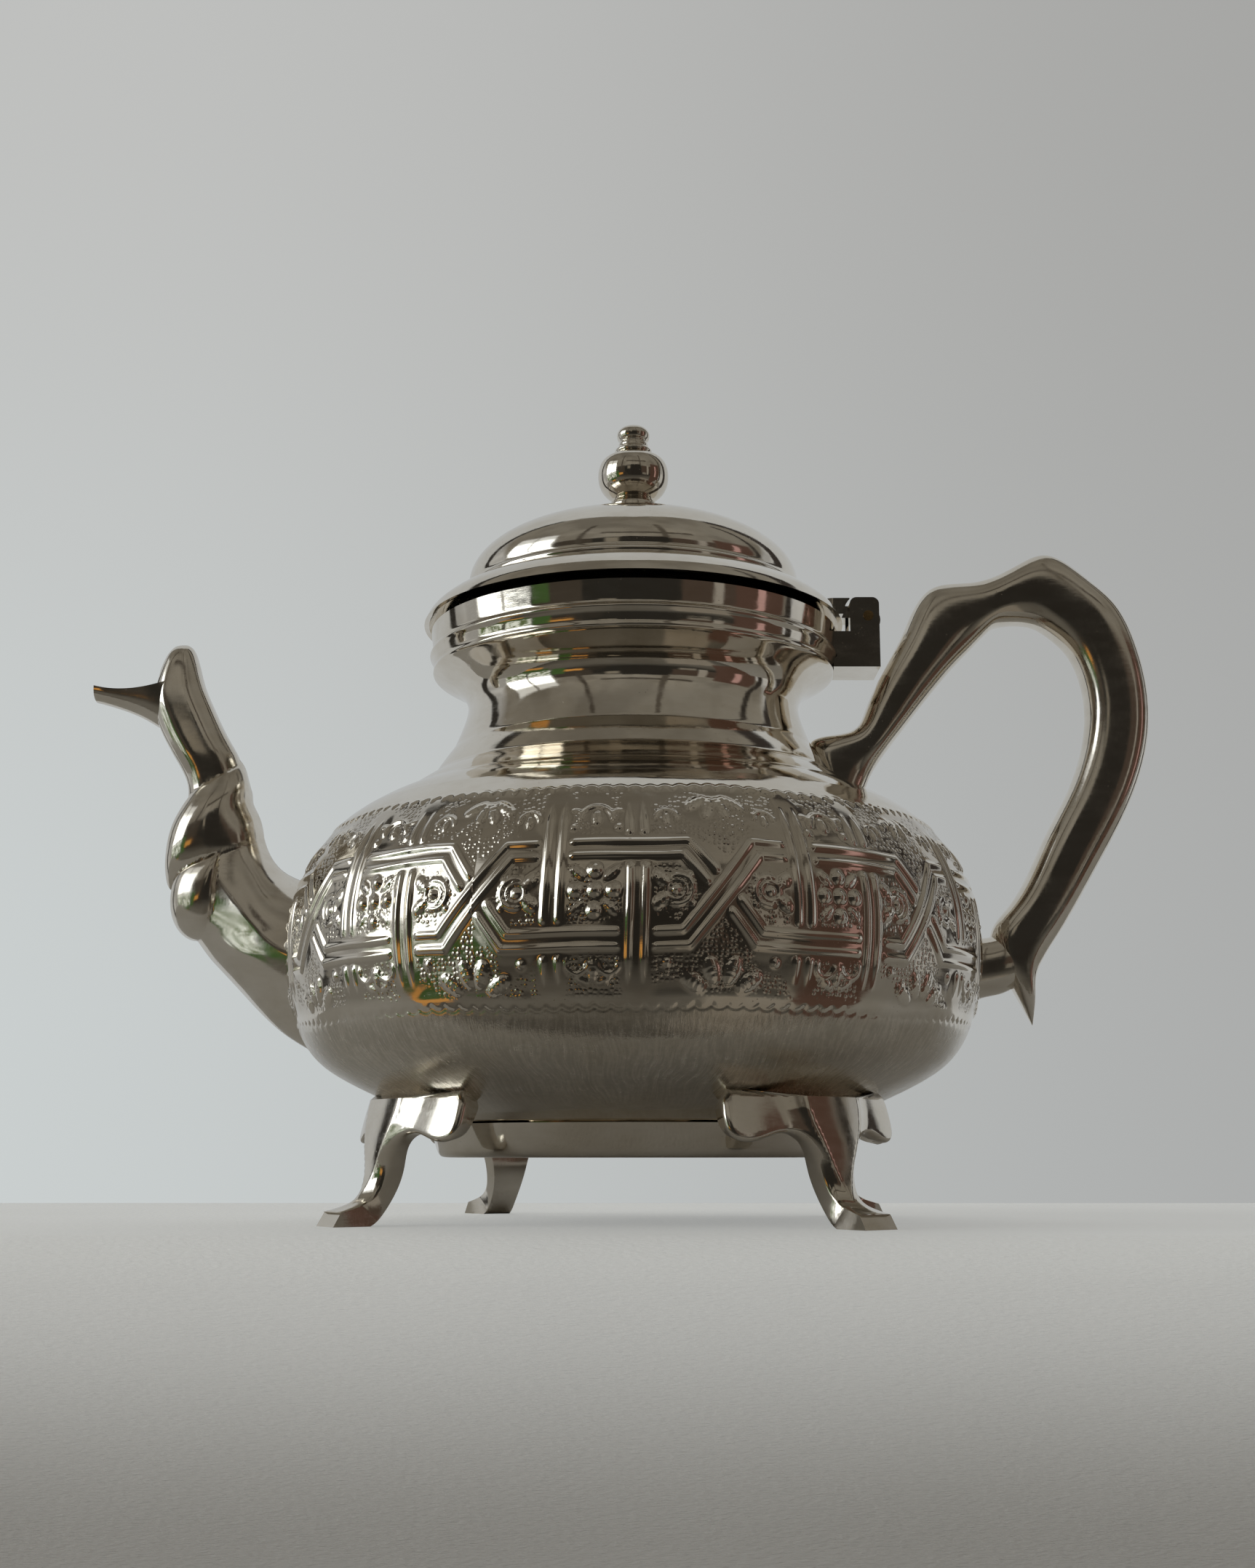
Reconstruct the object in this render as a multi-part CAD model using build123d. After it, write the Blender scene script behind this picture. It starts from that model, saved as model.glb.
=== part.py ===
from build123d import *
import math
import os

# Footed silver teapot with a hinged lid. Millimetres, +Z up.
# The pot is turned about the Z axis and stands on z = 0. The spout points to -X, the
# handle and the lid hinge are on the +X side.

os.makedirs("parts", exist_ok=True)

# ---------------------------------------------------------------- driving dimensions
WALL = 1.1                    # sheet thickness of the spun shells
BASE_BOTTOM = 13.9            # underside of the base pan
BASE_TOP = 21.0               # joint of the base pan and the belly
BASE_RADIUS = 45.6            # outside of the base pan
BASE_CORNER = 2.4             # rounded lower edge of the base pan
SEAM_RADIUS = 63.6            # soldered seam between the belly and the neck
SEAM_HEIGHT = 90.4
SEAM_INSIDE = (62.9, 89.6)    # inner corner of the seam
MOUTH_TOP = 135.3             # upper edge of the mouth
MOUTH_RADIUS = 47.8           # outside of the mouth band

LID_RADIUS = 49.5             # outside of the lid's flange
LID_EDGE = 136.9              # lower edge of the flange
DOME_RADIUS = 39.2            # the dome, a flattened ellipse over its base height
DOME_BASE = 147.0
DOME_RISE = 16.9
THROAT_TOP = 143.4            # where the flange's underside turns up into the dome
BEZEL_RADIUS = 45.2           # the ring that drops into the mouth
BEZEL_BOTTOM = 130.6

PIN_X = 55.2                  # hinge pin, parallel to Y
PIN_Z = 139.0
PIN_RADIUS = 1.2
PIN_CLEARANCE = 0.05
EAR_INSIDE = 3.3              # half the gap between the ears
EAR_OUTSIDE = 6.5             # half the width of the hinge block
KNUCKLE_RADIUS = 3.3
BLOCK_LEFT = 42.0             # the block is cut to the neck's outside from here
BLOCK_RIGHT = 57.8
BLOCK_BOTTOM = 126.6
SLOT_FLOOR = 135.2
EAR_LEFT = 50.9
EAR_TOP = 143.5
EAR_FILLET = 1.6
EAR_SWEEP = 5.6               # nothing of the ears' upper left lies further from the pin
LEAF_GAP = 0.3                # between the leaf and the ears, everywhere
LEAF_LEFT = 44.4              # end of the leaf on the lid's flange
LEAF_BOTTOM = PIN_Z + 0.4
LEAF_TOP = PIN_Z + 4.3
LEAF_CORNER = 3.0
LEAF_UNDERSIDE = [(46.2, 140.2), (40.4, 143.0)]

LEG_ANGLES = {                # from the front (-Y) towards the handle (+X), in degrees
    "leg_front_right": 41.0,
    "leg_front_left": -59.5,
    "leg_back_right": 127.0,
    "leg_back_left": -148.0,
}
LEG_SWEEP = 27.0              # half the angle that a leg's wings cover
LEG_TOP = 31.0
FOOT_LENGTH = 9.0             # radial length of the foot that stands on the table
FOOT_TIP = 74.0               # radius of the foot's outer end
# front and back of a leg seen from the side: (radius, height), from the belly to the foot
LEG_FRONT = [
    (58.0, LEG_TOP), (62.2, 24.0), (64.6, 17.0), (64.4, 10.5), (67.2, 5.4), (FOOT_TIP, 3.0),
]
LEG_BACK = [
    (53.0, 25.6), (57.6, 19.5), (58.4, 15.0), (58.2, 10.5), (60.6, 4.6), (FOOT_TIP - FOOT_LENGTH, 0),
]
# right half of a leg seen from outside: (distance from its middle, height), wing to foot
LEG_HALF = [
    (25.4, LEG_TOP), (25.6, 21.0), (24.6, 17.6), (21.6, 16.4), (17.6, 17.0), (13.6, 18.6),
    (9.6, 18.4), (6.6, 15.6), (4.7, 11.0), (3.6, 6.0), (3.7, 2.0), (3.9, 0),
]

HANDLE_HALF = 6.3             # half the handle's width across
HANDLE_CHAMFER = 0.28         # corner cut, as a share of the section

STRAINER_Z = 57.0             # centre of the strainer holes under the spout
STRAINER_HOLE = 1.5
STRAINER_PITCH = 5.2

FINIAL_BASE = 163.6           # height of the finial's foot on the dome
SCREW_RADIUS = 1.4
SCREW_DEPTH = 8.0             # how far the screw goes up into the finial
SCREW_HEAD = 3.2              # corner radius of its six-sided head
SCREW_HEAD_HEIGHT = 1.2
WASHER_RADIUS = 5.0
WASHER_THICKNESS = 0.8
DOME_SAG = 0.4                # how far the dome's inside drops over the washer's radius

# outside of the belly, from the base pan to the seam: (radius, height)
BELLY = [
    (BASE_RADIUS - 0.6, BASE_TOP), (52.2, 24.6), (60.4, 28.4), (66.9, 31.8), (70.9, 34.8),
    (73.9, 38.6), (76.4, 44.2), (78.0, 50.5), (78.7, 57.5), (78.6, 64.0), (77.3, 71.0),
    (74.6, 77.8), (71.4, 82.8), (67.9, 86.9), (SEAM_RADIUS, SEAM_HEIGHT),
]
# outside of the neck, in stretches that meet at creases, from the seam to the mouth
SHOULDER_BANDS = [
    [(SEAM_RADIUS, SEAM_HEIGHT), (58.8, 93.2), (53.6, 95.6)],
    [(53.6, 95.6), (50.2, 97.9), (46.7, 100.1)],
    [(46.7, 100.1), (44.6, 103.3), (42.1, 106.7)],
]
NECK = [
    (42.1, 106.7), (40.5, 110.5), (39.3, 114.0), (38.8, 117.0), (39.3, 119.2), (41.0, 121.4),
    (44.0, 123.3), (46.5, 124.6),
]
# the two beads and the band of the mouth: (radius, height) of the points between them
BEADS = [(46.5, 124.6), (47.3, 125.4), (46.9, 126.2)]
BEAD_GAP = [(46.9, 126.2), (47.2, 127.4), (47.5, 128.6)]
BEADS_UPPER = [(47.5, 128.6), (48.1, 129.4), (47.2, 130.2)]
BAND = [(47.2, 130.2), (47.5, 132.8), (MOUTH_RADIUS, MOUTH_TOP)]

# outside of the lid's flange, from the dome's bead to the edge
FLANGE = [(40.4, 143.9), (43.6, 142.8), (46.2, 141.1), (48.4, 139.0), (LID_RADIUS, LID_EDGE)]
LID_BEAD = [(DOME_RADIUS, 145.6), (40.3, 144.8), (40.4, 143.9)]

# spout stations from the belly to the head: outer point, inner point (x, z), half depth
SPOUT = [
    ((-64.0, 33.0), (-70.0, 75.0), 17.0),
    ((-79.2, 40.8), (-79.8, 79.2), 16.0),
    ((-90.5, 52.2), (-83.6, 82.4), 13.5),
    ((-99.9, 61.4), (-85.2, 87.0), 11.2),
    ((-105.4, 69.0), (-86.6, 91.4), 9.8),
    ((-107.9, 80.6), (-88.9, 95.2), 8.8),
    ((-106.4, 90.5), (-89.6, 98.4), 7.8),
    ((-104.5, 96.0), (-90.6, 101.6), 7.2),
    ((-106.0, 103.0), (-93.2, 107.0), 6.8),
    ((-108.8, 108.3), (-96.0, 111.8), 6.5),
    ((-111.6, 113.5), (-99.4, 118.6), 6.2),
    ((-113.2, 119.5), (-101.6, 123.6), 5.8),
    ((-112.0, 126.0), (-103.0, 128.6), 5.0),
    ((-109.6, 132.4), (-104.8, 133.2), 3.4),
]
SPOUT_BORE = [                # centre (x, z) and radius of the channel inside the spout
    (-74.0, 56.0, 11.0), (-84.0, 61.5, 10.5), (-91.5, 70.5, 7.6), (-96.5, 80.0, 6.2),
    (-98.6, 90.0, 5.4), (-98.0, 98.0, 4.8), (-100.4, 106.0, 4.4), (-104.2, 114.0, 4.2),
    (-108.6, 121.6, 3.9), (-118.0, 129.0, 3.9),
]
LIP = [                       # lip stations: x, lower z, half width
    (-109.5, 113.4, 5.6), (-114.5, 115.2, 5.0), (-120.5, 118.0, 4.2), (-126.6, 120.2, 3.4),
]
LIP_TOP = 122.4
SPOUT_ROOM = 150.0            # a box of this size holds either half of the spout
TROUGH = [                    # the channel in the lip, open upwards: x, floor, half width
    (-107.5, 116.8, 4.6), (-114.5, 116.4, 4.0), (-120.5, 119.1, 3.2), (-127.6, 121.4, 2.4),
]

# handle stations from the shoulder round to the belly: outer point, inner point (x, z)
HANDLE = [
    ((42.6, 104.6), (52.8, 93.6)),
    ((41.6, 109.6), (54.6, 99.4)),
    ((50.5, 112.0), (58.2, 105.8)),
    ((54.9, 118.0), (63.7, 113.0)),
    ((60.0, 128.6), (69.2, 120.1)),
    ((64.2, 136.6), (74.8, 126.8)),
    ((71.2, 147.2), (80.5, 132.7)),
    ((81.8, 148.7), (84.4, 136.6)),
    ((92.4, 153.3), (88.6, 138.4)),
    ((98.4, 155.4), (93.2, 138.4)),
    ((107.6, 150.0), (98.0, 136.4)),
    ((114.6, 143.2), (101.8, 133.0)),
    ((119.3, 132.2), (105.0, 127.6)),
    ((121.3, 119.6), (106.7, 118.2)),
    ((120.1, 107.5), (105.4, 108.0)),
    ((116.4, 96.6), (102.4, 99.6)),
    ((107.2, 79.7), (95.2, 86.0)),
    ((98.0, 64.6), (86.8, 71.0)),
    ((91.9, 57.0), (80.6, 63.4)),
]
STUB = [                      # the bar between the handle's lower end and the belly: (x, z)
    (74.0, 48.6), (83.8, 50.7), (88.4, 52.0), (92.3, 57.6), (90.0, 64.0), (81.0, 63.6), (74.0, 64.0),
]
SPUR = [                      # the pointed spur under it
    (84.6, 50.6), (88.1, 46.9), (91.2, 43.6), (91.8, 47.0), (91.4, 52.0), (92.3, 58.0), (86.0, 58.0),
]
STUB_HALF = 5.4
SPUR_HALF = 3.4


# ---------------------------------------------------------------- helpers
def at(radius, height):
    """A point of a turned profile, in the XZ plane."""
    return (radius, 0, height)


def curve(points):
    """A smooth curve through (radius, height) points."""
    return Spline(*[at(*p) for p in points])


def offset(points, distance):
    """The same curve moved inwards by a distance, as points."""
    moved = []
    for i, (r, z) in enumerate(points):
        before = points[max(i - 1, 0)]
        after = points[min(i + 1, len(points) - 1)]
        length = math.dist(before, after)
        inwards = (-(after[1] - before[1]) / length, (after[0] - before[0]) / length)
        moved.append((r + distance * inwards[0], z + distance * inwards[1]))
    return moved


def turn(edges):
    """Turns a closed outline in the XZ plane once round the Z axis."""
    return revolve(make_face(edges), Axis.Z, 360)


def polygon(points, half):
    """A flat plate of (x, z) corners, as thick as twice half across Y."""
    corners = [(x, 0, z) for x, z in points]
    return extrude(make_face(Polyline(*corners, close=True)), half, both=True, dir=(0, 1, 0))


def octagon(outer, inner, half):
    """A section with cut corners between two (x, z) points, half as wide across Y."""
    centre = Vector((outer[0] + inner[0]) / 2, 0, (outer[1] + inner[1]) / 2)
    across = (Vector(outer[0], 0, outer[1]) - Vector(inner[0], 0, inner[1])) * 0.5
    side = Vector(0, half, 0)
    cut = 1 - 2 * HANDLE_CHAMFER
    ring = [(1, cut), (cut, 1), (-cut, 1), (-1, cut), (-1, -cut), (-cut, -1), (cut, -1), (1, -cut)]
    return Face(Wire.make_polygon([centre + across * a + side * b for a, b in ring]))


def cylinder_y(x, z, radius, low, high):
    """A round bar along Y from low to high."""
    return Pos(x, (low + high) / 2, z) * Rot(90, 0, 0) * Cylinder(radius, high - low)


def bar_up(radius, low, high):
    """A round bar on the Z axis from low to high."""
    return Pos(0, 0, (low + high) / 2) * Cylinder(radius, high - low)


def block(x0, x1, y0, y1, z0, z1):
    """A box between its low and high corners."""
    return Pos((x0 + x1) / 2, (y0 + y1) / 2, (z0 + z1) / 2) * Box(x1 - x0, y1 - y0, z1 - z0)


def save(name, shape):
    """Writes one named piece."""
    shape.label = name
    export_step(shape, f"parts/{name}.step")


# ---------------------------------------------------------------- belly, neck and base
def belly_solid():
    """The belly and shoulder as a filled solid, used to fit pieces against its outside."""
    edges = [curve(BELLY)]
    edges += [curve(band) for band in SHOULDER_BANDS]
    edges += [Polyline(at(*SHOULDER_BANDS[-1][-1]), at(0, 106.7), at(0, BASE_TOP), at(*BELLY[0]))]
    return turn(edges)


def belly_shell():
    """The belly between the base pan and the seam, with strainer holes behind the spout."""
    inside = offset(BELLY, WALL)
    inside[0] = (BELLY[0][0] - WALL * 1.6, BASE_TOP)
    inside[-1] = SEAM_INSIDE
    shell = turn([
        curve(BELLY),
        Line(at(*BELLY[-1]), at(*inside[-1])),
        curve(inside),
        Line(at(*inside[0]), at(*BELLY[0])),
    ])
    holes = [(0, 0)]
    holes += [
        (STRAINER_PITCH * math.cos(math.radians(60 * k)), STRAINER_PITCH * math.sin(math.radians(60 * k)))
        for k in range(6)
    ]
    for y, z in holes:
        shell -= Pos(-76, y, STRAINER_Z + z) * Rot(0, 90, 0) * Cylinder(STRAINER_HOLE, 16)
    return shell


def neck_shell():
    """Shoulder bands, waisted neck, two beads and the mouth band, in one spun shell."""
    stretches = SHOULDER_BANDS + [NECK, BEADS, BEAD_GAP, BEADS_UPPER, BAND]
    outside = [curve(points) for points in stretches]
    through = SHOULDER_BANDS[0] + [p for band in SHOULDER_BANDS[1:] for p in band[1:]]
    through += NECK[1:-1] + [(46.2, 125.6), (46.8, 129.4), BAND[-1]]
    inside = offset(through, WALL)
    inside[0] = SEAM_INSIDE
    inside[-1] = (MOUTH_RADIUS - WALL, MOUTH_TOP)
    return turn(outside + [
        Line(at(*BAND[-1]), at(*inside[-1])),
        curve(inside),
        Line(at(*inside[0]), at(*SHOULDER_BANDS[0][0])),
    ])


def base_pan():
    """The flat-bottomed pan that closes the belly."""
    outside = bar_up(BASE_RADIUS, BASE_BOTTOM, BASE_TOP)
    outside = fillet(outside.edges().group_by(Axis.Z)[0], BASE_CORNER)
    hollow = bar_up(BASE_RADIUS - WALL, BASE_BOTTOM + WALL, BASE_TOP + WALL)
    hollow = fillet(hollow.edges().group_by(Axis.Z)[0], BASE_CORNER - WALL)
    return outside - hollow


# ---------------------------------------------------------------- legs
def leg(envelope):
    """A cast bracket leg at the front (-Y): two rounded wings, a shin and a splayed foot."""
    side = make_face([
        curve(LEG_FRONT),
        Polyline(at(*LEG_FRONT[-1]), at(FOOT_TIP, 0), at(*LEG_BACK[-1])),
        curve(LEG_BACK),
        Polyline(at(*LEG_BACK[0]), at(LEG_BACK[0][0], LEG_TOP), at(*LEG_FRONT[0])),
    ])
    body = Rot(0, 0, -90 - LEG_SWEEP) * revolve(side, Axis.Z, 2 * LEG_SWEEP)
    right = [at(u, z) for u, z in LEG_HALF]
    left = [at(-u, z) for u, z in reversed(LEG_HALF)]
    outline = make_face([
        Line(left[-1], right[0]),
        Spline(*right[:-1]),
        Polyline(right[-2], right[-1], left[0], left[1]),
        Spline(*left[1:]),
    ])
    front = extrude(outline, FOOT_TIP + 1, dir=(0, -1, 0))
    return (body & front) - envelope


# ---------------------------------------------------------------- spout
def slice_across(x, half, low, high):
    """An upright rectangle across the spout at x."""
    return Face(Wire.make_polygon([(x, -half, low), (x, half, low), (x, half, high), (x, -half, high)]))


def spout_halves(envelope):
    """The cast spout: a swelling tube with a beaked head, brazed from two halves."""
    outer = loft([octagon(*station) for station in SPOUT], ruled=True)
    outer += loft([slice_across(x, half, z, LIP_TOP) for x, z, half in LIP], ruled=True)
    bore_faces = []
    for i, (x, z, radius) in enumerate(SPOUT_BORE):
        before = SPOUT_BORE[max(i - 1, 0)]
        after = SPOUT_BORE[min(i + 1, len(SPOUT_BORE) - 1)]
        along = Vector(after[0] - before[0], 0, after[1] - before[1])
        bore_faces.append(Plane(origin=(x, 0, z), x_dir=(0, 1, 0), z_dir=along) * Circle(radius))
    bore = loft(bore_faces, ruled=True)
    trough = [slice_across(x, half, z, LIP_TOP + 1) for x, z, half in TROUGH]
    whole = outer - bore - loft(trough, ruled=True) - envelope
    front_room = block(-SPOUT_ROOM, 0, -SPOUT_ROOM, 0, 0, SPOUT_ROOM)
    back_room = block(-SPOUT_ROOM, 0, 0, SPOUT_ROOM, 0, SPOUT_ROOM)
    return whole & front_room, whole & back_room


# ---------------------------------------------------------------- handle
def handle(envelope):
    """The cast handle: an eight-sided bar with a foot on the shoulder and a spurred stub."""
    bar = loft([octagon(outer, inner, HANDLE_HALF) for outer, inner in HANDLE], ruled=True)
    return bar + polygon(STUB, STUB_HALF) + polygon(SPUR, SPUR_HALF) - envelope


# ---------------------------------------------------------------- lid and finial
def dome_points(shrink):
    """The dome's curve from its rim to the axis, moved inwards by shrink."""
    steps = 8
    return [
        (
            (DOME_RADIUS - shrink) * math.cos(math.radians(90 * k / steps)),
            DOME_BASE + (DOME_RISE - shrink) * math.sin(math.radians(90 * k / steps)) ** 0.92,
        )
        for k in range(steps + 1)
    ]


def lid_shell():
    """The spun lid: dome, bead and rounded flange, with a hole for the finial screw."""
    inner_flange = offset(FLANGE, -WALL)
    outside = dome_points(0)
    inside = dome_points(WALL)
    edge = (LID_RADIUS - WALL, LID_EDGE)
    throat = (DOME_RADIUS - WALL, THROAT_TOP)
    shell = turn([
        curve(outside),
        Line(at(*outside[0]), at(*LID_BEAD[0])),
        curve(LID_BEAD),
        curve(FLANGE),
        Line(at(*FLANGE[-1]), at(*edge)),
        curve([edge] + inner_flange[-2:0:-1] + [throat]),
        Line(at(*throat), at(*inside[0])),
        curve(inside),
        Line(at(*inside[-1]), at(*outside[-1])),
    ])
    return shell - Pos(0, 0, DOME_BASE + DOME_RISE) * Cylinder(SCREW_RADIUS + 0.1, 10)


def lid_bezel(lid):
    """The ring under the lid that drops into the mouth."""
    ring = bar_up(BEZEL_RADIUS, BEZEL_BOTTOM, DOME_BASE) - bar_up(BEZEL_RADIUS - WALL, 0, DOME_BASE)
    bottom, top, rim = BEZEL_BOTTOM - 1, DOME_BASE - 1, BEZEL_RADIUS + 1
    below = turn([Polyline(at(0, bottom), at(rim, bottom), at(rim, 140.4), at(0, top), at(0, bottom))])
    return (ring & below) - lid


def finial():
    """The turned knob: collar, ball, two rings and a small button on top."""
    z = FINIAL_BASE
    seat = z - WALL / 2
    profile = [
        Polyline(at(0, seat), at(6.0, seat), at(6.0, z + 4.6), at(4.6, z + 5.8)),
        Spline(at(4.6, z + 5.8), at(7.4, z + 8.0), at(8.5, z + 12.2), at(7.2, z + 16.0), at(3.9, z + 17.6)),
        Polyline(at(3.9, z + 17.6), at(4.4, z + 18.6), at(3.4, z + 19.2)),
        Polyline(at(3.4, z + 19.2), at(3.4, z + 20.4), at(3.1, z + 20.8), at(3.8, z + 21.4)),
        Spline(at(3.8, z + 21.4), at(3.9, z + 23.0), at(2.9, z + 24.3), at(0, z + 24.7)),
        Line(at(0, z + 24.7), at(0, seat)),
    ]
    outside = dome_points(0)
    dome = turn([curve(outside), Polyline(at(*outside[-1]), at(0, DOME_BASE), at(*outside[0]))])
    return turn(profile) - dome - bar_up(SCREW_RADIUS, z - SCREW_DEPTH, z + SCREW_DEPTH)


def finial_fixing():
    """The washer inside the dome and the screw that holds the finial."""
    seat = DOME_BASE + DOME_RISE - WALL - DOME_SAG
    low = seat - WASHER_THICKNESS
    washer = bar_up(WASHER_RADIUS, low, seat) - bar_up(SCREW_RADIUS, low - 1, seat + 1)
    head = Pos(0, 0, low - SCREW_HEAD_HEIGHT) * extrude(RegularPolygon(SCREW_HEAD, 6), SCREW_HEAD_HEIGHT)
    return washer, head + bar_up(SCREW_RADIUS, low, FINIAL_BASE + SCREW_DEPTH)


# ---------------------------------------------------------------- hinge
def hinge_block(neck):
    """The block on the neck, with two ears that hold the pin."""
    body = block(BLOCK_LEFT, BLOCK_RIGHT, -EAR_OUTSIDE, EAR_OUTSIDE, BLOCK_BOTTOM, SLOT_FLOOR)
    ears = block(EAR_LEFT, BLOCK_RIGHT, -EAR_OUTSIDE, EAR_OUTSIDE, SLOT_FLOOR - 1, EAR_TOP)
    ears = fillet(ears.edges().filter_by(Axis.Y).group_by(Axis.Z)[-1], EAR_FILLET)
    ears -= block(EAR_LEFT - 1, BLOCK_RIGHT + 1, -EAR_INSIDE, EAR_INSIDE, SLOT_FLOOR, EAR_TOP + 1)
    whole = body - bar_up(MOUTH_RADIUS - WALL / 2, 0, EAR_TOP) - neck + ears
    return whole - cylinder_y(PIN_X, PIN_Z, PIN_RADIUS, -EAR_OUTSIDE - 1, EAR_OUTSIDE + 1)


def hinge_leaf(lid):
    """The lid's leaf and the knuckle that turns between the ears."""
    gap = EAR_INSIDE - LEAF_GAP
    arm = block(LEAF_LEFT + 1.6, PIN_X, -gap, gap, LEAF_BOTTOM, PIN_Z + KNUCKLE_RADIUS)
    pad = block(LEAF_LEFT, EAR_LEFT, -EAR_OUTSIDE, EAR_OUTSIDE, LEAF_BOTTOM, LEAF_TOP)
    pad = fillet(pad.edges().filter_by(Axis.Z).group_by(Axis.X)[0], LEAF_CORNER)
    pad -= cylinder_y(PIN_X, PIN_Z, EAR_SWEEP + LEAF_GAP, -EAR_OUTSIDE - 1, EAR_OUTSIDE + 1)
    below = [(0, MOUTH_TOP), (LID_RADIUS, MOUTH_TOP), (LID_RADIUS, LID_EDGE)] + LEAF_UNDERSIDE + [(0, 150)]
    under = turn([Polyline(*[at(*p) for p in below], close=True)])
    knuckle = cylinder_y(PIN_X, PIN_Z, KNUCKLE_RADIUS, -gap, gap)
    whole = (arm + pad - under - lid) + knuckle
    return whole - cylinder_y(PIN_X, PIN_Z, PIN_RADIUS + PIN_CLEARANCE, -EAR_OUTSIDE, EAR_OUTSIDE)


# ---------------------------------------------------------------- the assembly
envelope = belly_solid()
neck = neck_shell()
lid = lid_shell()

save("belly_shell", belly_shell())
save("neck_shell", neck)
save("base_pan", base_pan())

front_leg = leg(envelope)
for leg_name, angle in LEG_ANGLES.items():
    save(leg_name, Rot(0, 0, angle) * front_leg)

spout_front, spout_back = spout_halves(envelope)
save("spout_front_half", spout_front)
save("spout_back_half", spout_back)
save("handle", handle(envelope))

save("lid_shell", lid)
save("lid_bezel", lid_bezel(lid))
save("finial", finial())
washer, screw = finial_fixing()
save("finial_washer", washer)
save("finial_screw", screw)

save("hinge_block", hinge_block(neck))
save("hinge_leaf", hinge_leaf(lid))
save("hinge_pin", cylinder_y(PIN_X, PIN_Z, PIN_RADIUS, -EAR_OUTSIDE - 0.3, EAR_OUTSIDE + 0.3))
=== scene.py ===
import math

import bmesh
import bpy
import numpy as np
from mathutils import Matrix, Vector
from mathutils.geometry import delaunay_2d_cdt


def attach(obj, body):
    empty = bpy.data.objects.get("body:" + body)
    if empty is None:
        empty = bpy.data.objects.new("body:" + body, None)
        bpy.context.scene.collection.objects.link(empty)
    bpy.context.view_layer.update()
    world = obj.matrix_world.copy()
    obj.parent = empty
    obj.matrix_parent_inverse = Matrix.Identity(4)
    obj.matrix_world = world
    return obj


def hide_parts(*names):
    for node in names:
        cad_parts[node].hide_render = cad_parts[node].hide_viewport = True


# Footed silver teapot: the looks. Shapes are in millimetres, in the frame of the CAD model,
# and become metres when a mesh is made. The spout points to -X, the handle to +X, +Z is up.
MM = 0.001
WALL = 1.1
MERGE = 1e-7  # in metres: points of a mesh this near each other become one
SHARP = 35.0  # degrees between faces over which an edge stays sharp

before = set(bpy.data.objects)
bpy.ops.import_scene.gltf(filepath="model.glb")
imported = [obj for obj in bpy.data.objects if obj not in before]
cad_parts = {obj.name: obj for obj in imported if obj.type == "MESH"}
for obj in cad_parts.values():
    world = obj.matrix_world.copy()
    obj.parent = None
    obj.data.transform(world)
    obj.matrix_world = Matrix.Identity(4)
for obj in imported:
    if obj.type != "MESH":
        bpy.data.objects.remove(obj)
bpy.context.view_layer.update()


# ---- curves and meshes
def spline(points, step):
    """Points about step apart along a natural cubic spline through the given ones."""
    given = np.array(points, float)
    lengths = np.linalg.norm(np.diff(given, axis=0), axis=1)
    knots = np.concatenate([[0.0], np.cumsum(lengths)])
    count = len(given)
    matrix = np.eye(count)
    right = np.zeros_like(given)
    for i in range(1, count - 1):
        before, after = lengths[i - 1], lengths[i]
        matrix[i, i - 1:i + 2] = before, 2 * (before + after), after
        right[i] = 6 * ((given[i + 1] - given[i]) / after - (given[i] - given[i - 1]) / before)
    bend = np.linalg.solve(matrix, right)
    where = np.linspace(0, knots[-1], max(2, int(round(knots[-1] / step)) + 1))
    k = np.clip(np.searchsorted(knots, where, side="right") - 1, 0, count - 2)
    span = lengths[k][:, None]
    a = (knots[k + 1] - where)[:, None]
    b = (where - knots[k])[:, None]
    return (
        (bend[k] * a ** 3 + bend[k + 1] * b ** 3) / (6 * span)
        + (given[k] / span - bend[k] * span / 6) * a
        + (given[k + 1] / span - bend[k + 1] * span / 6) * b
    )


def joined(stretches, step):
    """Several splines end to end, as one line of points."""
    lines = [spline(points, step) for points in stretches]
    return np.concatenate([lines[0]] + [line[1:] for line in lines[1:]])


def softened(line, times):
    """The same line with its creases rounded a little; its ends stay."""
    line = np.array(line)
    for _ in range(times):
        line[1:-1] = (line[:-2] + 2 * line[1:-1] + line[2:]) / 4
    return line


def directions(line):
    """Unit tangents of a line of points."""
    along = np.gradient(line, axis=0)
    return along / np.linalg.norm(along, axis=1)[:, None]


def outward(line):
    """Unit normals of a line of (radius, height) points that goes up on the outside."""
    along = directions(line)
    return np.stack([along[:, 1], -along[:, 0]], axis=1)


def smoothstep(low, high, value):
    """0 at low, 1 at high, and smooth between; low may be the larger one."""
    t = np.clip((value - low) / (high - low), 0, 1)
    return t * t * (3 - 2 * t)


def closed_mesh(name, points, faces):
    """A mesh from points in millimetres, with doubled points merged and faces turned outwards."""
    mesh = bpy.data.meshes.new(name)
    mesh.from_pydata((np.array(points) * MM).tolist(), [], [list(map(int, f)) for f in faces])
    work = bmesh.new()
    work.from_mesh(mesh)
    bmesh.ops.remove_doubles(work, verts=work.verts, dist=MERGE)
    bmesh.ops.recalc_face_normals(work, faces=work.faces)
    work.to_mesh(mesh)
    work.free()
    return mesh


def smooth(mesh, sharp=SHARP):
    """Smooth shading, except over edges sharper than an angle in degrees."""
    mesh.shade_smooth()
    mesh.set_sharp_from_angle(angle=math.radians(sharp))


def in_scene(name, data):
    """An object for a mesh, camera or lamp, in the scene."""
    thing = bpy.data.objects.new(name, data)
    bpy.context.scene.collection.objects.link(thing)
    return thing


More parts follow.
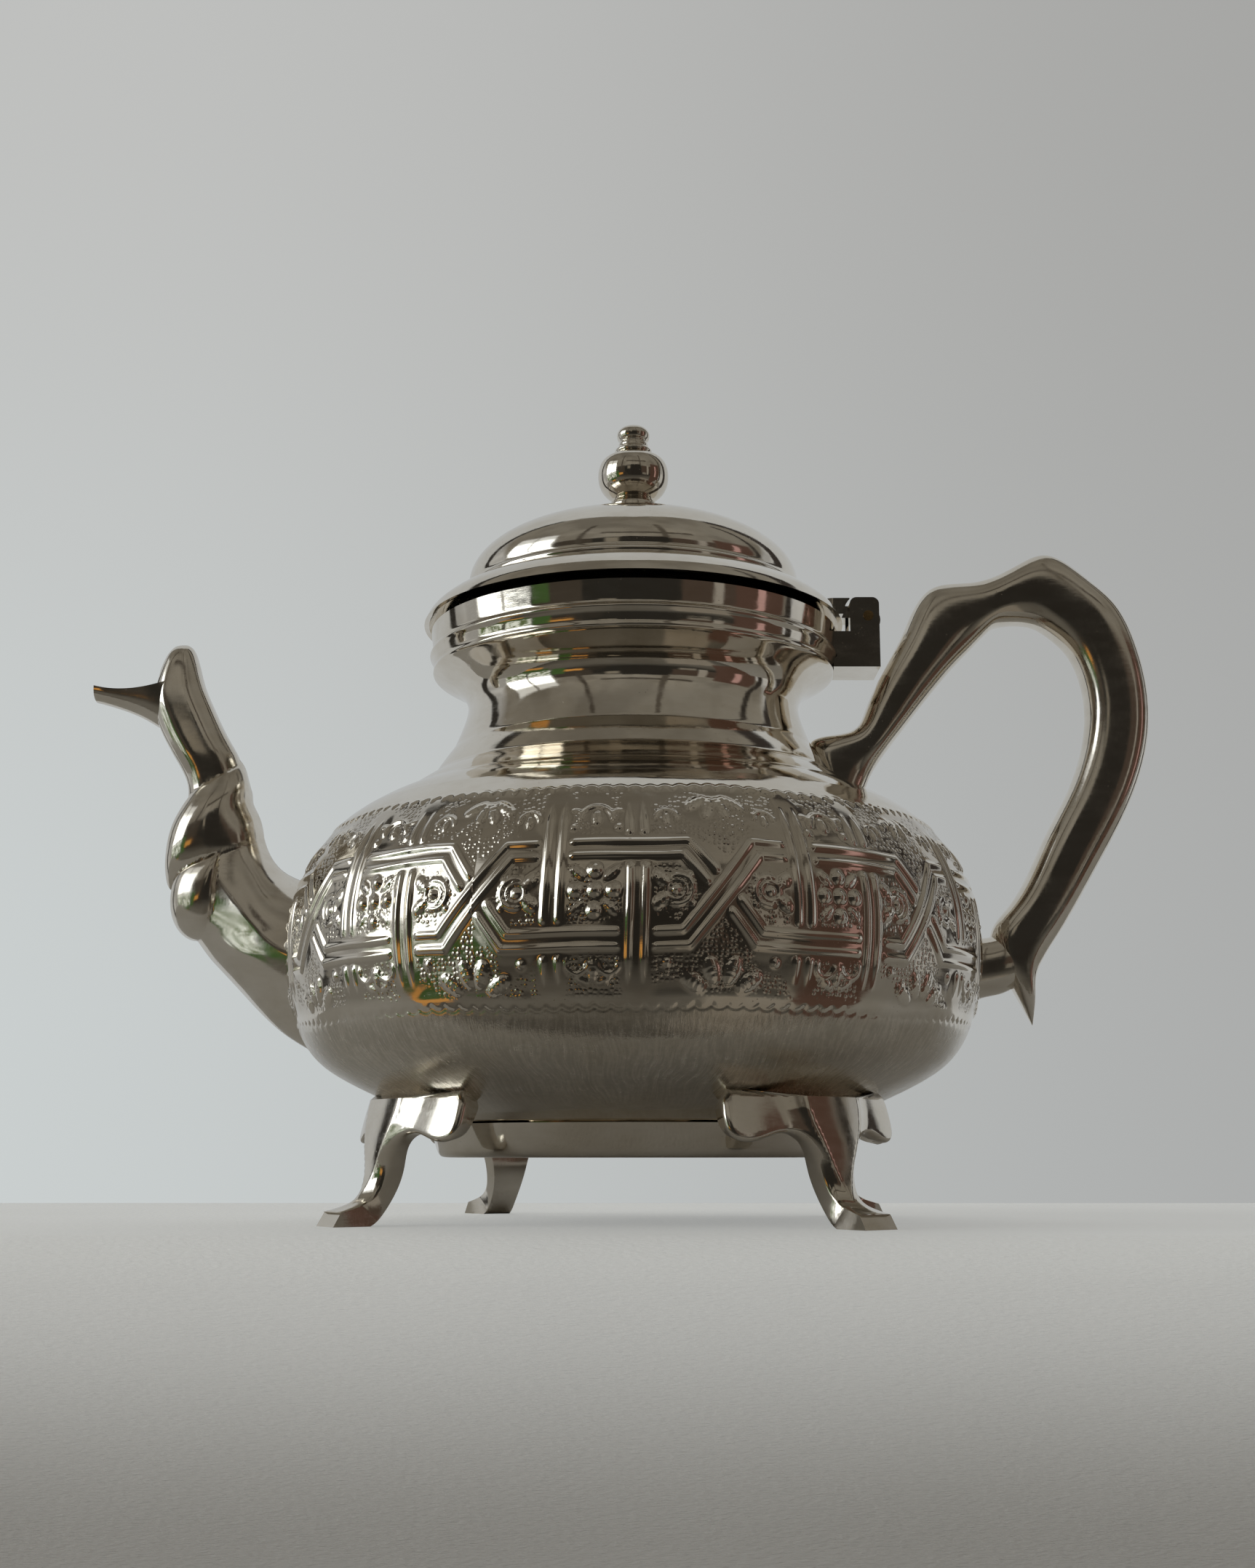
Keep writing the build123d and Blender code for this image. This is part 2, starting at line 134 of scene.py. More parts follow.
def mesh_piece(name, points, faces, body, material, nodes=(), sharp=SHARP):
    """A closed, smooth mesh that rides on a body and stands for the CAD nodes that are given."""
    mesh = closed_mesh(name, points, faces)
    smooth(mesh, sharp)
    mesh.materials.append(material)
    piece = in_scene(name, mesh)
    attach(piece, body)
    if nodes:
        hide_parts(*nodes)
    return piece


def grid_faces(rows, columns, start=0, wrap_rows=False, wrap_columns=True):
    """Four-sided faces over a grid of points numbered row by row."""
    r = np.arange(rows if wrap_rows else rows - 1)
    c = np.arange(columns if wrap_columns else columns - 1)
    r, c = np.meshgrid(r, c, indexing="ij")
    r2, c2 = (r + 1) % rows, (c + 1) % columns
    corners = [r * columns + c, r * columns + c2, r2 * columns + c2, r2 * columns + c]
    return (np.stack(corners, axis=-1).reshape(-1, 4) + start).tolist()


def round_z(radius, height, angle):
    """Points at a radius, height and angle round the Z axis; angle 0 is the front, -Y."""
    return np.stack([radius * np.sin(angle), -radius * np.cos(angle), height], axis=-1).reshape(-1, 3)


def turned_points(line, steps):
    """A line of (radius, height) points turned once round the Z axis."""
    line = np.array(line)
    angle = np.arange(steps) * 2 * math.pi / steps
    return round_z(np.repeat(line[:, :1], steps, axis=1), np.repeat(line[:, 1:], steps, axis=1), angle)


def lathe(name, loop, body, material, nodes, steps=192):
    """A closed loop of (radius, height) points turned round the Z axis."""
    faces = grid_faces(len(loop), steps, wrap_rows=True)
    return mesh_piece(name, turned_points(loop, steps), faces, body, material, nodes)


def cutter(name, points, faces):
    """A bare object to cut with."""
    return in_scene(name, closed_mesh(name, points, faces))


def cut(piece, tool):
    """Takes a cutter's volume out of a piece. The cutter stays."""
    modifier = piece.modifiers.new("cut", "BOOLEAN")
    modifier.operation = "DIFFERENCE"
    modifier.solver = "EXACT"
    modifier.object = tool
    graph = bpy.context.evaluated_depsgraph_get()
    mesh = bpy.data.meshes.new_from_object(piece.evaluated_get(graph))
    piece.modifiers.clear()
    old, piece.data = piece.data, mesh
    bpy.data.meshes.remove(old)
    smooth(mesh)


def discard(tool):
    """Removes a cutter once it has been used."""
    mesh = tool.data
    bpy.data.objects.remove(tool)
    bpy.data.meshes.remove(mesh)


# ---- materials
class Nodes:
    """Short ways to add nodes to one tree."""

    def __init__(self, tree):
        self.tree = tree
        tree.nodes.clear()

    def add(self, kind, inputs=(), **settings):
        node = self.tree.nodes.new(kind)
        for key, value in settings.items():
            setattr(node, key, value)
        for key, value in dict(inputs).items():
            self.feed(node.inputs[key], value)
        return node

    def feed(self, socket, value):
        if isinstance(value, bpy.types.NodeSocket):
            self.tree.links.new(value, socket)
        else:
            socket.default_value = value

    def math(self, operation, a, b=0.0):
        return self.add("ShaderNodeMath", {0: a, 1: b}, operation=operation).outputs[0]

    def plus(self, a, b):
        return self.math("ADD", a, b)

    def times(self, a, b):
        return self.math("MULTIPLY", a, b)

    def soft(self, value, low, high, start=0.0, end=1.0):
        """start at low, end at high, and smooth between; low may be the larger one."""
        inputs = {0: value, 1: low, 2: high, 3: start, 4: end}
        return self.add("ShaderNodeMapRange", inputs, interpolation_type="SMOOTHSTEP").outputs[0]

    def band(self, value, low, high, blur):
        """1 between low and high, 0 outside, with soft edges."""
        up = self.soft(value, low - blur, low + blur)
        down = self.soft(value, high - blur, high + blur, 1.0, 0.0)
        return self.times(up, down)

    def mix(self, factor, a, b):
        node = self.add("ShaderNodeMix", data_type="RGBA")
        self.feed(node.inputs[0], factor)
        self.feed(node.inputs[6], a)
        self.feed(node.inputs[7], b)
        return node.outputs[2]

    def noise(self, vector, scale, detail=2.0, roughness=0.5, output=0):
        inputs = {"Vector": vector, "Scale": scale, "Detail": detail, "Roughness": roughness}
        return self.add("ShaderNodeTexNoise", inputs).outputs[output]

    def cells(self, vector, scale, randomness=1.0):
        """Distance to the nearest of many scattered points."""
        inputs = {"Vector": vector, "Scale": scale, "Randomness": randomness}
        return self.add("ShaderNodeTexVoronoi", inputs).outputs["Distance"]

    def scaled(self, vector, factors):
        return self.add("ShaderNodeVectorMath", {0: vector, 1: factors}, operation="MULTIPLY").outputs[0]

    def split(self, vector):
        return self.add("ShaderNodeSeparateXYZ", {0: vector}).outputs

    def vector(self, x, y, z=0.0):
        return self.add("ShaderNodeCombineXYZ", {0: x, 1: y, 2: z}).outputs[0]

    def place(self):
        """Where on the object, in metres, in the CAD frame."""
        return self.add("ShaderNodeTexCoord").outputs["Object"]

    def painted(self, name):
        """A value that a mesh holds at each point."""
        return self.add("ShaderNodeAttribute", attribute_name=name).outputs["Fac"]

    def camera_ray(self):
        return self.add("ShaderNodeLightPath").outputs["Is Camera Ray"]

    def bump(self, height, distance, normal=None):
        node = self.add("ShaderNodeBump", {"Height": height, "Distance": distance})
        if normal is not None:
            self.feed(node.inputs["Normal"], normal)
        return node.outputs[0]

    def principled(self, inputs):
        """The shader with these inputs, and the tree's output."""
        shader = self.add("ShaderNodeBsdfPrincipled", inputs)
        output = self.add("ShaderNodeOutputMaterial")
        self.feed(output.inputs["Surface"], shader.outputs[0])


PIT = (0.30, 0.26, 0.21, 1)
STREAK = (0.42, 0.385, 0.32, 1)
TARNISH = (0.33, 0.28, 0.22, 1)
FINE_RELIEF = 0.00013  # depth in metres of the ground's pebbles and of the brushed weave
WEAVE_LOW, WEAVE_TOP = (0.0225, 0.027), (0.0395, 0.0435)  # heights where the weave fades


def new_material(name):
    """A material, and the short ways into its node tree."""
    material = bpy.data.materials.new(name)
    material.use_nodes = True
    return material, Nodes(material.node_tree)


def filed(n, place, depth, rough, normal):
    """Patches of file marks, as on a casting."""
    strokes = n.noise(n.scaled(place, (0.25, 0.3, 1.0)), 1500.0, 3.0, 0.6)
    patches = n.soft(n.noise(place, 70.0, 1.0), 0.42, 0.62)
    normal = n.bump(n.times(strokes, patches), depth, normal)
    return n.plus(rough, n.times(patches, 0.06)), normal


def pebbled(n, place, normal):
    """Small pebbles on the embossed ground, stronger in some places than in others."""
    dots = n.soft(n.cells(place, 1050.0, 0.5), 0.08, 0.60, 1.0, 0.0)
    pebbles = n.times(dots, n.soft(n.noise(place, 160.0, 2.0), 0.35, 0.6, 0.45, 1.0))
    return n.bump(n.times(pebbles, n.painted("ground")), FINE_RELIEF, normal)


def brushed(n, place, around, z, colour, rough, normal):
    """A brushed weave on the plain zone under the embossed band."""
    swirl = n.noise(place, 55.0, 1.0, output="Color")
    flat = {0: n.vector(n.times(around, 0.075), n.times(z, 0.16)), 1: n.scaled(swirl, (0.010, 0.0012, 0.0))}
    flat = n.add("ShaderNodeVectorMath", flat, operation="ADD").outputs[0]
    grain = n.noise(flat, 1250.0, 4.0, 0.7)
    weave = n.plus(n.times(grain, 0.7), n.times(n.noise(place, 800.0, 3.0, 0.7), 0.3))
    plain = n.times(n.soft(z, WEAVE_TOP[1], WEAVE_TOP[0]), n.soft(z, *WEAVE_LOW))
    normal = n.bump(n.times(weave, plain), FINE_RELIEF, normal)
    colour = n.mix(n.times(plain, n.soft(weave, 0.42, 0.60, 0.45, 0.0)), colour, STREAK)
    rough = n.plus(rough, n.times(plain, n.soft(weave, 0.35, 0.65, 0.08, 0.20)))
    return colour, rough, normal


def tarnished(n, clouds, colour, rough):
    """Darker and duller metal in the recesses of the embossing."""
    recess = n.times(n.painted("recess"), n.soft(clouds, 0.3, 0.6, 0.55, 1.0))
    colour = n.mix(n.times(recess, 0.45), colour, TARNISH)
    return colour, n.plus(rough, n.times(recess, 0.05))


def metal(name, light, dark, least_rough, turned=True, file_marks=0.0, embossed=False):
    """Hand-polished metal: tone clouds, wiping scratches and pits, and file marks of a given depth."""
    material, n = new_material(name)
    place = n.place()
    x, y, z = n.split(place)
    around = n.math("ARCTAN2", y, x)
    radius = n.math("SQRT", n.plus(n.times(x, x), n.times(y, y)))
    rings = n.vector(radius, n.times(around, 0.004), z)

    clouds = n.noise(place, 38.0, 4.0, 0.6)
    smears = n.noise(n.scaled(place, (1.0, 1.0, 3.0)), 120.0, 3.0, 0.65)
    wiping = n.noise(rings if turned else n.scaled(place, (1.0, 1.0, 0.25)), 2600.0, 3.0, 0.7)
    hairs = n.noise(n.scaled(place, (0.15, 1.0, 1.0)), 3400.0, 2.0, 0.6)
    no_pit = n.soft(n.cells(place, 900.0), 0.04, 0.12)
    no_pit = n.math("MAXIMUM", no_pit, n.soft(n.noise(place, 90.0, 2.0), 0.62, 0.56))

    tone = n.soft(n.plus(n.times(clouds, 0.7), n.times(smears, 0.3)), 0.36, 0.64)
    colour = n.mix(tone, (*dark, 1), (*light, 1))
    colour = n.mix(n.times(n.math("SUBTRACT", 1.0, no_pit), 0.5), colour, PIT)
    rough = n.times(n.soft(smears, 0.35, 0.7), 0.06)
    rough = n.plus(rough, n.times(n.soft(wiping, 0.45, 0.75), 0.05))
    rough = n.plus(rough, least_rough)

    normal = None
    for height, depth in ((clouds, 1.2e-4), (wiping, 3.5e-6), (hairs, 1.6e-6), (no_pit, 2e-5)):
        normal = n.bump(height, depth, normal)
    if file_marks:
        rough, normal = filed(n, place, file_marks, rough, normal)
    if embossed:
        normal = pebbled(n, place, normal)
        colour, rough, normal = brushed(n, place, around, z, colour, rough, normal)
        colour, rough = tarnished(n, clouds, colour, rough)
    n.principled({"Base Color": colour, "Metallic": 1.0, "Roughness": rough, "Normal": normal})
    return material


SILVER = ((0.83, 0.78, 0.70), (0.72, 0.66, 0.565))  # lighter and darker clouds of each metal
CAST_SILVER = ((0.82, 0.77, 0.69), (0.70, 0.64, 0.545))
BRASS = ((0.62, 0.42, 0.20), (0.42, 0.27, 0.12))
STEEL = ((0.60, 0.60, 0.59), (0.45, 0.45, 0.44))
belly_metal = metal("belly_silver", *SILVER, 0.035, embossed=True)
body_metal = metal("body_silver_plate", *SILVER, 0.025)
lid_metal = metal("lid_silver_plate", *SILVER, 0.04)
cast_metal = metal("cast_silver_plate", *CAST_SILVER, 0.055, turned=False, file_marks=8e-6)
brass = metal("dull_brass", *BRASS, 0.2, turned=False, file_marks=1e-5)
steel = metal("plain_steel", *STEEL, 0.2, turned=False, file_marks=1e-5)

# ---- belly with its embossed band
BELLY = [
    (45.0, 21.0), (52.2, 24.6), (60.4, 28.4), (66.9, 31.8), (70.9, 34.8), (73.9, 38.6),
    (76.4, 44.2), (78.0, 50.5), (78.7, 57.5), (78.6, 64.0), (77.3, 71.0), (74.6, 77.8),
    (71.4, 82.8), (67.9, 86.9), (63.6, 90.4),
]
BELLY_FOOT_INSIDE = (BELLY[0][0] - WALL * 1.6, BELLY[0][1])
BELLY_TOP_INSIDE = (62.9, 89.6)
CUTTER_STEPS = 180
BAND_START = 42.0  # height where the embossed band's length s is zero
UNITS = 10  # repeats of the pattern round the belly
UNIT = 49.39  # width of one repeat, at the belly's widest
UNIT_ANGLE = math.radians(-5.5)  # turns the whole pattern round Z
PANELS = 5
PANEL_COLUMNS = 320
COARSE = 8  # fine columns and rows per coarse one on the inside
STRAP_HALF = 1.45  # the strap's two ridges lie this far from its middle
RIDGE = 1.15  # half the width of a ridge
RELIEF = 0.66  # height of a strap's ridges
LOW_STRAP, MIDDLE, HIGH_STRAP = 13.1, 22.4, 31.0  # s of the level straps and the rosettes
UPRIGHT = 8.2  # the upright straps, left and right of a unit's middle
BAR_HALF = 17.6  # half the length of a level strap
MITRE = 0.7  # how much longer a bent strap's outer ridge is, at each end
BAND_LOW, BAND_HIGH = -1.5, 49.7  # s between which the rows lie close together
UPRIGHT_ENDS = (4.2, 42.6)  # s where an upright strap starts and ends
UPRIGHT_LINE = (5.0, 43.0)  # the stretch of it that other work keeps clear of
LOW_BORDER, HIGH_BORDER = 1.2, 45.2


def ridge(distance, width, height):
    """A rounded ridge over a line, from the distance to that line."""
    return height * np.cos(np.clip(distance / width, 0, 1) * math.pi / 2) ** 2


def near_stroke(u, s, a, b):
    """The nearest place on a straight stroke, as a share of its length, and the distance to it."""
    du, ds = b[0] - a[0], b[1] - a[1]
    t = np.clip(((u - a[0]) * du + (s - a[1]) * ds) / (du * du + ds * ds), 0, 1)
    return t, np.hypot(u - a[0] - t * du, s - a[1] - t * ds)


def stroke(u, s, a, b, width, height, taper=0.0):
    """A rounded ridge along a straight stroke, with pointed ends when it has a taper."""
    length = math.hypot(b[0] - a[0], b[1] - a[1])
    t, away = near_stroke(u, s, a, b)
    if taper:
        near_end = np.clip(np.minimum(t, 1 - t) * length / taper, 0.02, 1) ** 0.5
        width, height = width * near_end, height * near_end
    return ridge(away / width, 1.0, height)


def boss(u, s, at, radius, height):
    """A small dome."""
    return height * np.clip(1 - ((u - at[0]) ** 2 + (s - at[1]) ** 2) / radius ** 2, 0, 1)


def ring(u, s, at, radius, width, height):
    """A raised ring."""
    return ridge(np.abs(np.hypot(u - at[0], s - at[1]) - radius), width, height)


def arch(u, s, at, radius, width, height, up=1):
    """The upper or lower half of a raised ring."""
    return ring(u, s, at, radius, width, height) * smoothstep(-0.6, 0.3, (s - at[1]) * up)


def petal(u, s, base, angle, length, width, height):
    """A ribbed leaf that starts at base and points away at an angle from upright."""
    turn = math.radians(angle)
    along = (u - base[0]) * math.sin(turn) + (s - base[1]) * math.cos(turn) - length / 2
    across = (u - base[0]) * math.cos(turn) - (s - base[1]) * math.sin(turn)
    inside = np.clip(1 - (2 * along / length) ** 2 - (2 * across / width) ** 2, 0, 1)
    ribs = 0.8 + 0.2 * np.cos((along + 0.25 * across ** 2) * 2 * math.pi / 1.15)
    return height * np.sqrt(inside) * ribs


def strap(across, s, ends, over=(), taper=0.0):
    """Two ridges side by side, broken where the strap passes under the lines in over.

    ends are the middle line's ends, each with how far its outer ridge is pushed along."""
    (u0, s0, mitre0), (u1, s1, mitre1) = ends
    ridges = []
    for side_of in (-1, 1):
        push = side_of * STRAP_HALF
        du, ds = (push, 0.0) if u0 == u1 else (0.0, push)
        a = (u0 + du + side_of * mitre0, s0 + ds)
        b = (u1 + du + side_of * mitre1, s1 + ds)
        ridges.append(stroke(across, s, a, b, RIDGE, RELIEF, taper))
    height = np.maximum(*ridges)
    for other in over:
        height = height * smoothstep(2.3, 3.9, other)
    return height


def strapwork(near, wide, s):
    """The height of the interlaced straps, and the distance to the nearest strap's middle."""
    lean = UNIT / 2 - BAR_HALF
    low_end, high_end = UPRIGHT_ENDS
    low_line, high_line = UPRIGHT_LINE
    top_bar = near_stroke(near, s, (-BAR_HALF, HIGH_STRAP), (BAR_HALF, HIGH_STRAP))[1]
    low_bar = near_stroke(near, s, (-BAR_HALF, LOW_STRAP), (BAR_HALF, LOW_STRAP))[1]
    rising = near_stroke(wide, s, (-lean, LOW_STRAP), (lean, HIGH_STRAP))[1]
    falling = near_stroke(wide, s, (-lean, HIGH_STRAP), (lean, LOW_STRAP))[1]
    left = near_stroke(near, s, (-UPRIGHT, low_line), (-UPRIGHT, high_line))[1]
    right = near_stroke(near, s, (UPRIGHT, low_line), (UPRIGHT, high_line))[1]
    straps = [
        strap(near, s, ((-BAR_HALF, HIGH_STRAP, -MITRE), (BAR_HALF, HIGH_STRAP, MITRE)), (left,)),
        strap(near, s, ((-BAR_HALF, LOW_STRAP, MITRE), (BAR_HALF, LOW_STRAP, -MITRE)), (right,)),
        strap(wide, s, ((-lean, LOW_STRAP, -MITRE), (lean, HIGH_STRAP, -MITRE))),
        strap(wide, s, ((-lean, HIGH_STRAP, MITRE), (lean, LOW_STRAP, MITRE)), (rising,)),
        strap(near, s, ((-UPRIGHT, low_end, 0), (-UPRIGHT, high_end, 0)), (low_bar,), 5.0),
        strap(near, s, ((UPRIGHT, low_end, 0), (UPRIGHT, high_end, 0)), (top_bar,), 5.0),
    ]
    nearest = np.minimum.reduce([top_bar, low_bar, rising, falling, left, right])
    return np.maximum.reduce(straps), nearest


def rosette(near, s):
    """Five bosses and four small leaves in the middle cell."""
    shapes = [boss(near, s, (0, MIDDLE), 1.5, 0.7)]
    for du, ds in ((3.7, 0), (-3.7, 0), (0, 4.0), (0, -4.0)):
        shapes.append(boss(near, s, (du, MIDDLE + ds), 1.6, 0.7))
    for du in (-1, 1):
        for ds in (-1, 1):
            at = (1.8 * du, MIDDLE + 2.0 * ds)
            shapes.append(petal(near, s, at, du * (90 - ds * 45), 4.2, 1.6, 0.45))
    return shapes


def eyes(side, s):
    """A ringed boss with leaves in each cell beside the rosette's."""
    shapes = [
        boss(side, s, (15.4, MIDDLE), 1.0, 0.6),
        ring(side, s, (15.7, MIDDLE), 2.9, 0.6, 0.5) * smoothstep(13.6, 15.4, side),
        ring(side, s, (15.5, MIDDLE), 1.9, 0.45, 0.4),
    ]
    for up in (-1, 1):
        shapes.append(petal(side, s, (14.2, MIDDLE + 0.9 * up), -90 + 38 * up, 4.6, 2.5, 0.5))
        shapes.append(petal(side, s, (17.6, MIDDLE + 1.9 * up), 90 - 48 * up, 2.8, 1.3, 0.4))
    return shapes


def lower_motifs(near, wide, s):
    """Leaves, curls and fans under the low straps."""
    side, far_side = np.abs(near), np.abs(wide)
    shapes = [
        petal(near, s, (0, 4.6), 0, 4.8, 2.0, 0.65),
        arch(side, s, (3.0, 8.7), 2.2, 0.65, 0.5, up=-1),
        boss(side, s, (5.2, 8.9), 0.9, 0.5),
        petal(side, s, (0.6, 4.4), 62, 3.6, 1.6, 0.45),
        boss(far_side, s, (10.6, 8.6), 1.0, 0.45),
    ]
    for angle in (-72, -24, 24, 72):
        base = (angle / 24, 4.2 - abs(angle) / 60)
        shapes.append(petal(wide, s, base, angle * 0.8, 6.0, 3.3, 0.6))
    return shapes


def upper_motifs(near, wide, s):
    """Arches, leaves and hanging fans over the high straps."""
    side, far_side = np.abs(near), np.abs(wide)
    shapes = [
        arch(near, s, (0, 37.6), 3.4, 0.7, 0.5),
        petal(near, s, (0, 36.2), 0, 3.8, 1.9, 0.55),
        arch(side, s, (4.6, 38.6), 1.4, 0.6, 0.4),
        boss(side, s, (4.6, 35.8), 0.9, 0.45),
        arch(far_side, s, (10.4, 37.8), 2.2, 0.65, 0.45),
        petal(far_side, s, (10.4, 36.2), 0, 3.0, 1.5, 0.45),
    ]
    for angle in (-124, -162, 162, 124):
        base = (math.sin(math.radians(angle)) * 1.6, 43.4)
        shapes.append(petal(wide, s, base, angle, 6.2, 2.6, 0.5))
    return shapes


def borders(u, s):
    """The rows of small arcs that end the band: raised above it and sunk below it."""
    pitch = UNIT / 15
    step = np.mod(u, pitch) - pitch / 2
    lower = ridge(np.abs(np.hypot(step, s - LOW_BORDER) - 1.8), 0.5, 0.22)
    upper = ridge(np.abs(np.hypot(step, s - HIGH_BORDER) - 1.75), 0.55, 0.3)
    return upper * smoothstep(HIGH_BORDER, 45.8, s), lower * smoothstep(0.9, 0.3, s)


def relief(u, s):
    """Height of the embossing over the belly, where its pebbled ground lies, and its recesses."""
    near = np.mod(u + UNIT / 2, UNIT) - UNIT / 2
    wide = np.mod(u, UNIT) - UNIT / 2
    straps, nearest = strapwork(near, wide, s)
    shapes = rosette(near, s) + eyes(np.abs(near), s) + lower_motifs(near, wide, s)
    motifs = np.maximum.reduce(shapes + upper_motifs(near, wide, s))
    motifs = 1.2 * motifs * smoothstep(2.3, 3.1, nearest)
    upper, lower = borders(u, s)

    inside = smoothstep(1.5, 4.0, s) * smoothstep(46.4, 44.6, s)
    height = np.maximum(straps, motifs)
    patches = np.sin(u / 3.9 + 2.0 * np.sin(s / 5.0)) * np.sin(s / 3.7 + 1.6 * np.sin(u / 7.0))
    ground = inside * smoothstep(0.16, 0.04, height) * smoothstep(2.9, 3.6, nearest)
    ground = ground * smoothstep(-0.45, 0.0, patches)
    recess = inside * smoothstep(0.3, 0.0, height)
    pillow = 0.18 * smoothstep(5.0, 2.0, nearest)
    height = np.maximum(height, pillow * inside) - 0.2 * inside + upper - lower
    return height, ground, recess


def belly_rows():
    """Lengths s up the belly, and the (radius, height) points there."""
    fine = spline(BELLY, 0.1)
    arc = np.concatenate([[0], np.cumsum(np.linalg.norm(np.diff(fine, axis=0), axis=1))])
    arc -= np.interp(BAND_START, fine[:, 1], arc)
    s = np.concatenate([
        np.linspace(arc[0], BAND_LOW, 33),
        np.linspace(BAND_LOW, BAND_HIGH, 161)[1:],
        np.linspace(BAND_HIGH, arc[-1], 9)[1:],
    ])
    return s, np.stack([np.interp(s, arc, fine[:, 0]), np.interp(s, arc, fine[:, 1])], axis=1)


def hand_embossed(u, s):
    """The relief over the whole belly, with the unevenness of hand work."""
    drift = 0.35 * np.sin(u / 31.0 + 1.0) + 0.25 * np.sin(u / 13.7)
    uu, ss = np.meshgrid(u, s)
    turns = uu * 2 * math.pi / (UNITS * UNIT)
    warped_u = uu + drift[None, :] * 0.6 + 0.25 * np.sin(ss / 7.0 + uu / 41.0)
    warped_s = ss + 0.3 * np.sin(7 * turns) + 0.15 * np.sin(uu / 4.6)
    height, ground, recess = relief(warped_u - UNIT / 2, warped_s)
    height *= 1 + 0.14 * np.sin(uu / 9.0 + ss / 6.0) + 0.08 * np.sin(uu / 3.1 - ss / 2.3)
    for axis in (0, 1):
        height = (np.roll(height, 1, axis) + 2 * height + np.roll(height, -1, axis)) / 4
    edge = smoothstep(s[0], s[0] + 8, ss) * smoothstep(s[-1], s[-1] - 4, ss)
    dents = np.sin(5 * turns + ss / 9.0) + 0.7 * np.sin(11 * turns - ss / 6.0 + 1.3)
    height += 0.07 * edge * dents
    height[:, -1] = height[:, 0]
    height[0] = 0
    height[-1] = 0
    return height, ground, recess


def panel_faces(rows, few, narrow):
    """Faces of a fine outside and a coarse inside grid, and of the rims that join their edges."""
    width = PANEL_COLUMNS + 1
    start = rows * width
    faces = grid_faces(rows, width, wrap_columns=False)
    faces += grid_faces(few, narrow, start, wrap_columns=False)
    outer = np.arange(start).reshape(rows, width)
    inner = np.arange(few * narrow).reshape(few, narrow) + start
    rims = [
        (outer[0], inner[0]), (outer[-1], inner[-1]),
        (outer[:, 0], inner[:, 0]), (outer[:, -1], inner[:, -1]),
    ]
    for fine_edge, coarse_edge in rims:
        for k in range(len(coarse_edge) - 1):
            chain = fine_edge[k * COARSE:(k + 1) * COARSE + 1].tolist()
            faces.append(chain + [coarse_edge[k + 1], coarse_edge[k]])
    return faces


def belly_panels():
    """The belly in five panels: a fine embossed outside and a plain inside."""
    s, line = belly_rows()
    normal = outward(line)
    columns = PANELS * PANEL_COLUMNS
    u = np.arange(columns + 1) * UNITS * UNIT / columns
    height, *painted = hand_embossed(u, s)
    radii = line[:, 0][:, None] + normal[:, 0][:, None] * height
    heights = line[:, 1][:, None] + normal[:, 1][:, None] * height
    angle = u * 2 * math.pi / (UNITS * UNIT) + UNIT_ANGLE - math.pi / UNITS
    inner = line - normal * WALL
    inner[0] = BELLY_FOOT_INSIDE
    inner[-1] = BELLY_TOP_INSIDE
    inner = inner[::COARSE]
    for p in range(PANELS):
        cols = np.arange(p * PANEL_COLUMNS, (p + 1) * PANEL_COLUMNS + 1)
        outside = round_z(radii[:, cols], heights[:, cols], angle[cols])
        few = angle[cols][::COARSE]
        repeated = [np.repeat(inner[:, k][:, None], len(few), axis=1) for k in (0, 1)]
        piece = mesh_piece(
            f"belly_panel_{p + 1}", np.concatenate([outside, round_z(*repeated, few)]),
            panel_faces(len(s), len(inner), len(few)),
            "pot", belly_metal, ("belly_shell",), sharp=60.0,
        )
        for name, values in zip(("ground", "recess"), painted):
            data = np.zeros(len(piece.data.vertices), np.float32)
            data[:len(outside)] = values[:, cols].reshape(-1)
            layer = piece.data.attributes.new(name, "FLOAT", "POINT")
            layer.data.foreach_set("value", data)


belly_panels()

# ---- neck and base
SHOULDER = [
    [BELLY[-1], (58.8, 93.2), (53.6, 95.6)],
    [(53.6, 95.6), (50.2, 97.9), (46.7, 100.1)],
    [(46.7, 100.1), (44.6, 103.3), (42.1, 106.7)],
]
NECK = [
    [(42.1, 106.7), (40.5, 110.5), (39.3, 114.0), (38.8, 117.0), (39.3, 119.2), (41.0, 121.4),
     (44.0, 123.3), (46.5, 124.6)],
    [(46.5, 124.6), (47.3, 125.4), (46.9, 126.2)],
    [(46.9, 126.2), (47.2, 127.4), (47.5, 128.6)],
    [(47.5, 128.6), (48.1, 129.4), (47.2, 130.2)],
    [(47.2, 130.2), (47.5, 132.8), (47.8, 135.3)],
]
PAN = [
    [(0.0, 13.9), (20.0, 13.9), (42.2, 13.9)],
    [(42.2, 13.9), (43.5, 14.3), (44.2, 15.5)],
    [(44.2, 15.5), (45.9, 21.0)],
]


def neck():
    """Shoulder bands, waist, two beads and mouth band, with a coarser inside."""
    line = softened(joined(SHOULDER + NECK, 0.3), 3)
    inside = line - outward(line) * WALL
    loop = np.concatenate([line, inside[::-1][:-1:4], inside[:1]])
    lathe("neck", loop, "pot", body_metal, ("neck_shell",), 224)


def base():
    """The flat-bottomed pan under the belly."""
    line = softened(joined(PAN, 0.6), 1)
    inside = line - outward(line) * WALL
    inside[0, 0] = 0.0
    loop = np.concatenate([line, inside[::-1]])
    lathe("base", loop, "pot", body_metal, ("base_pan",))


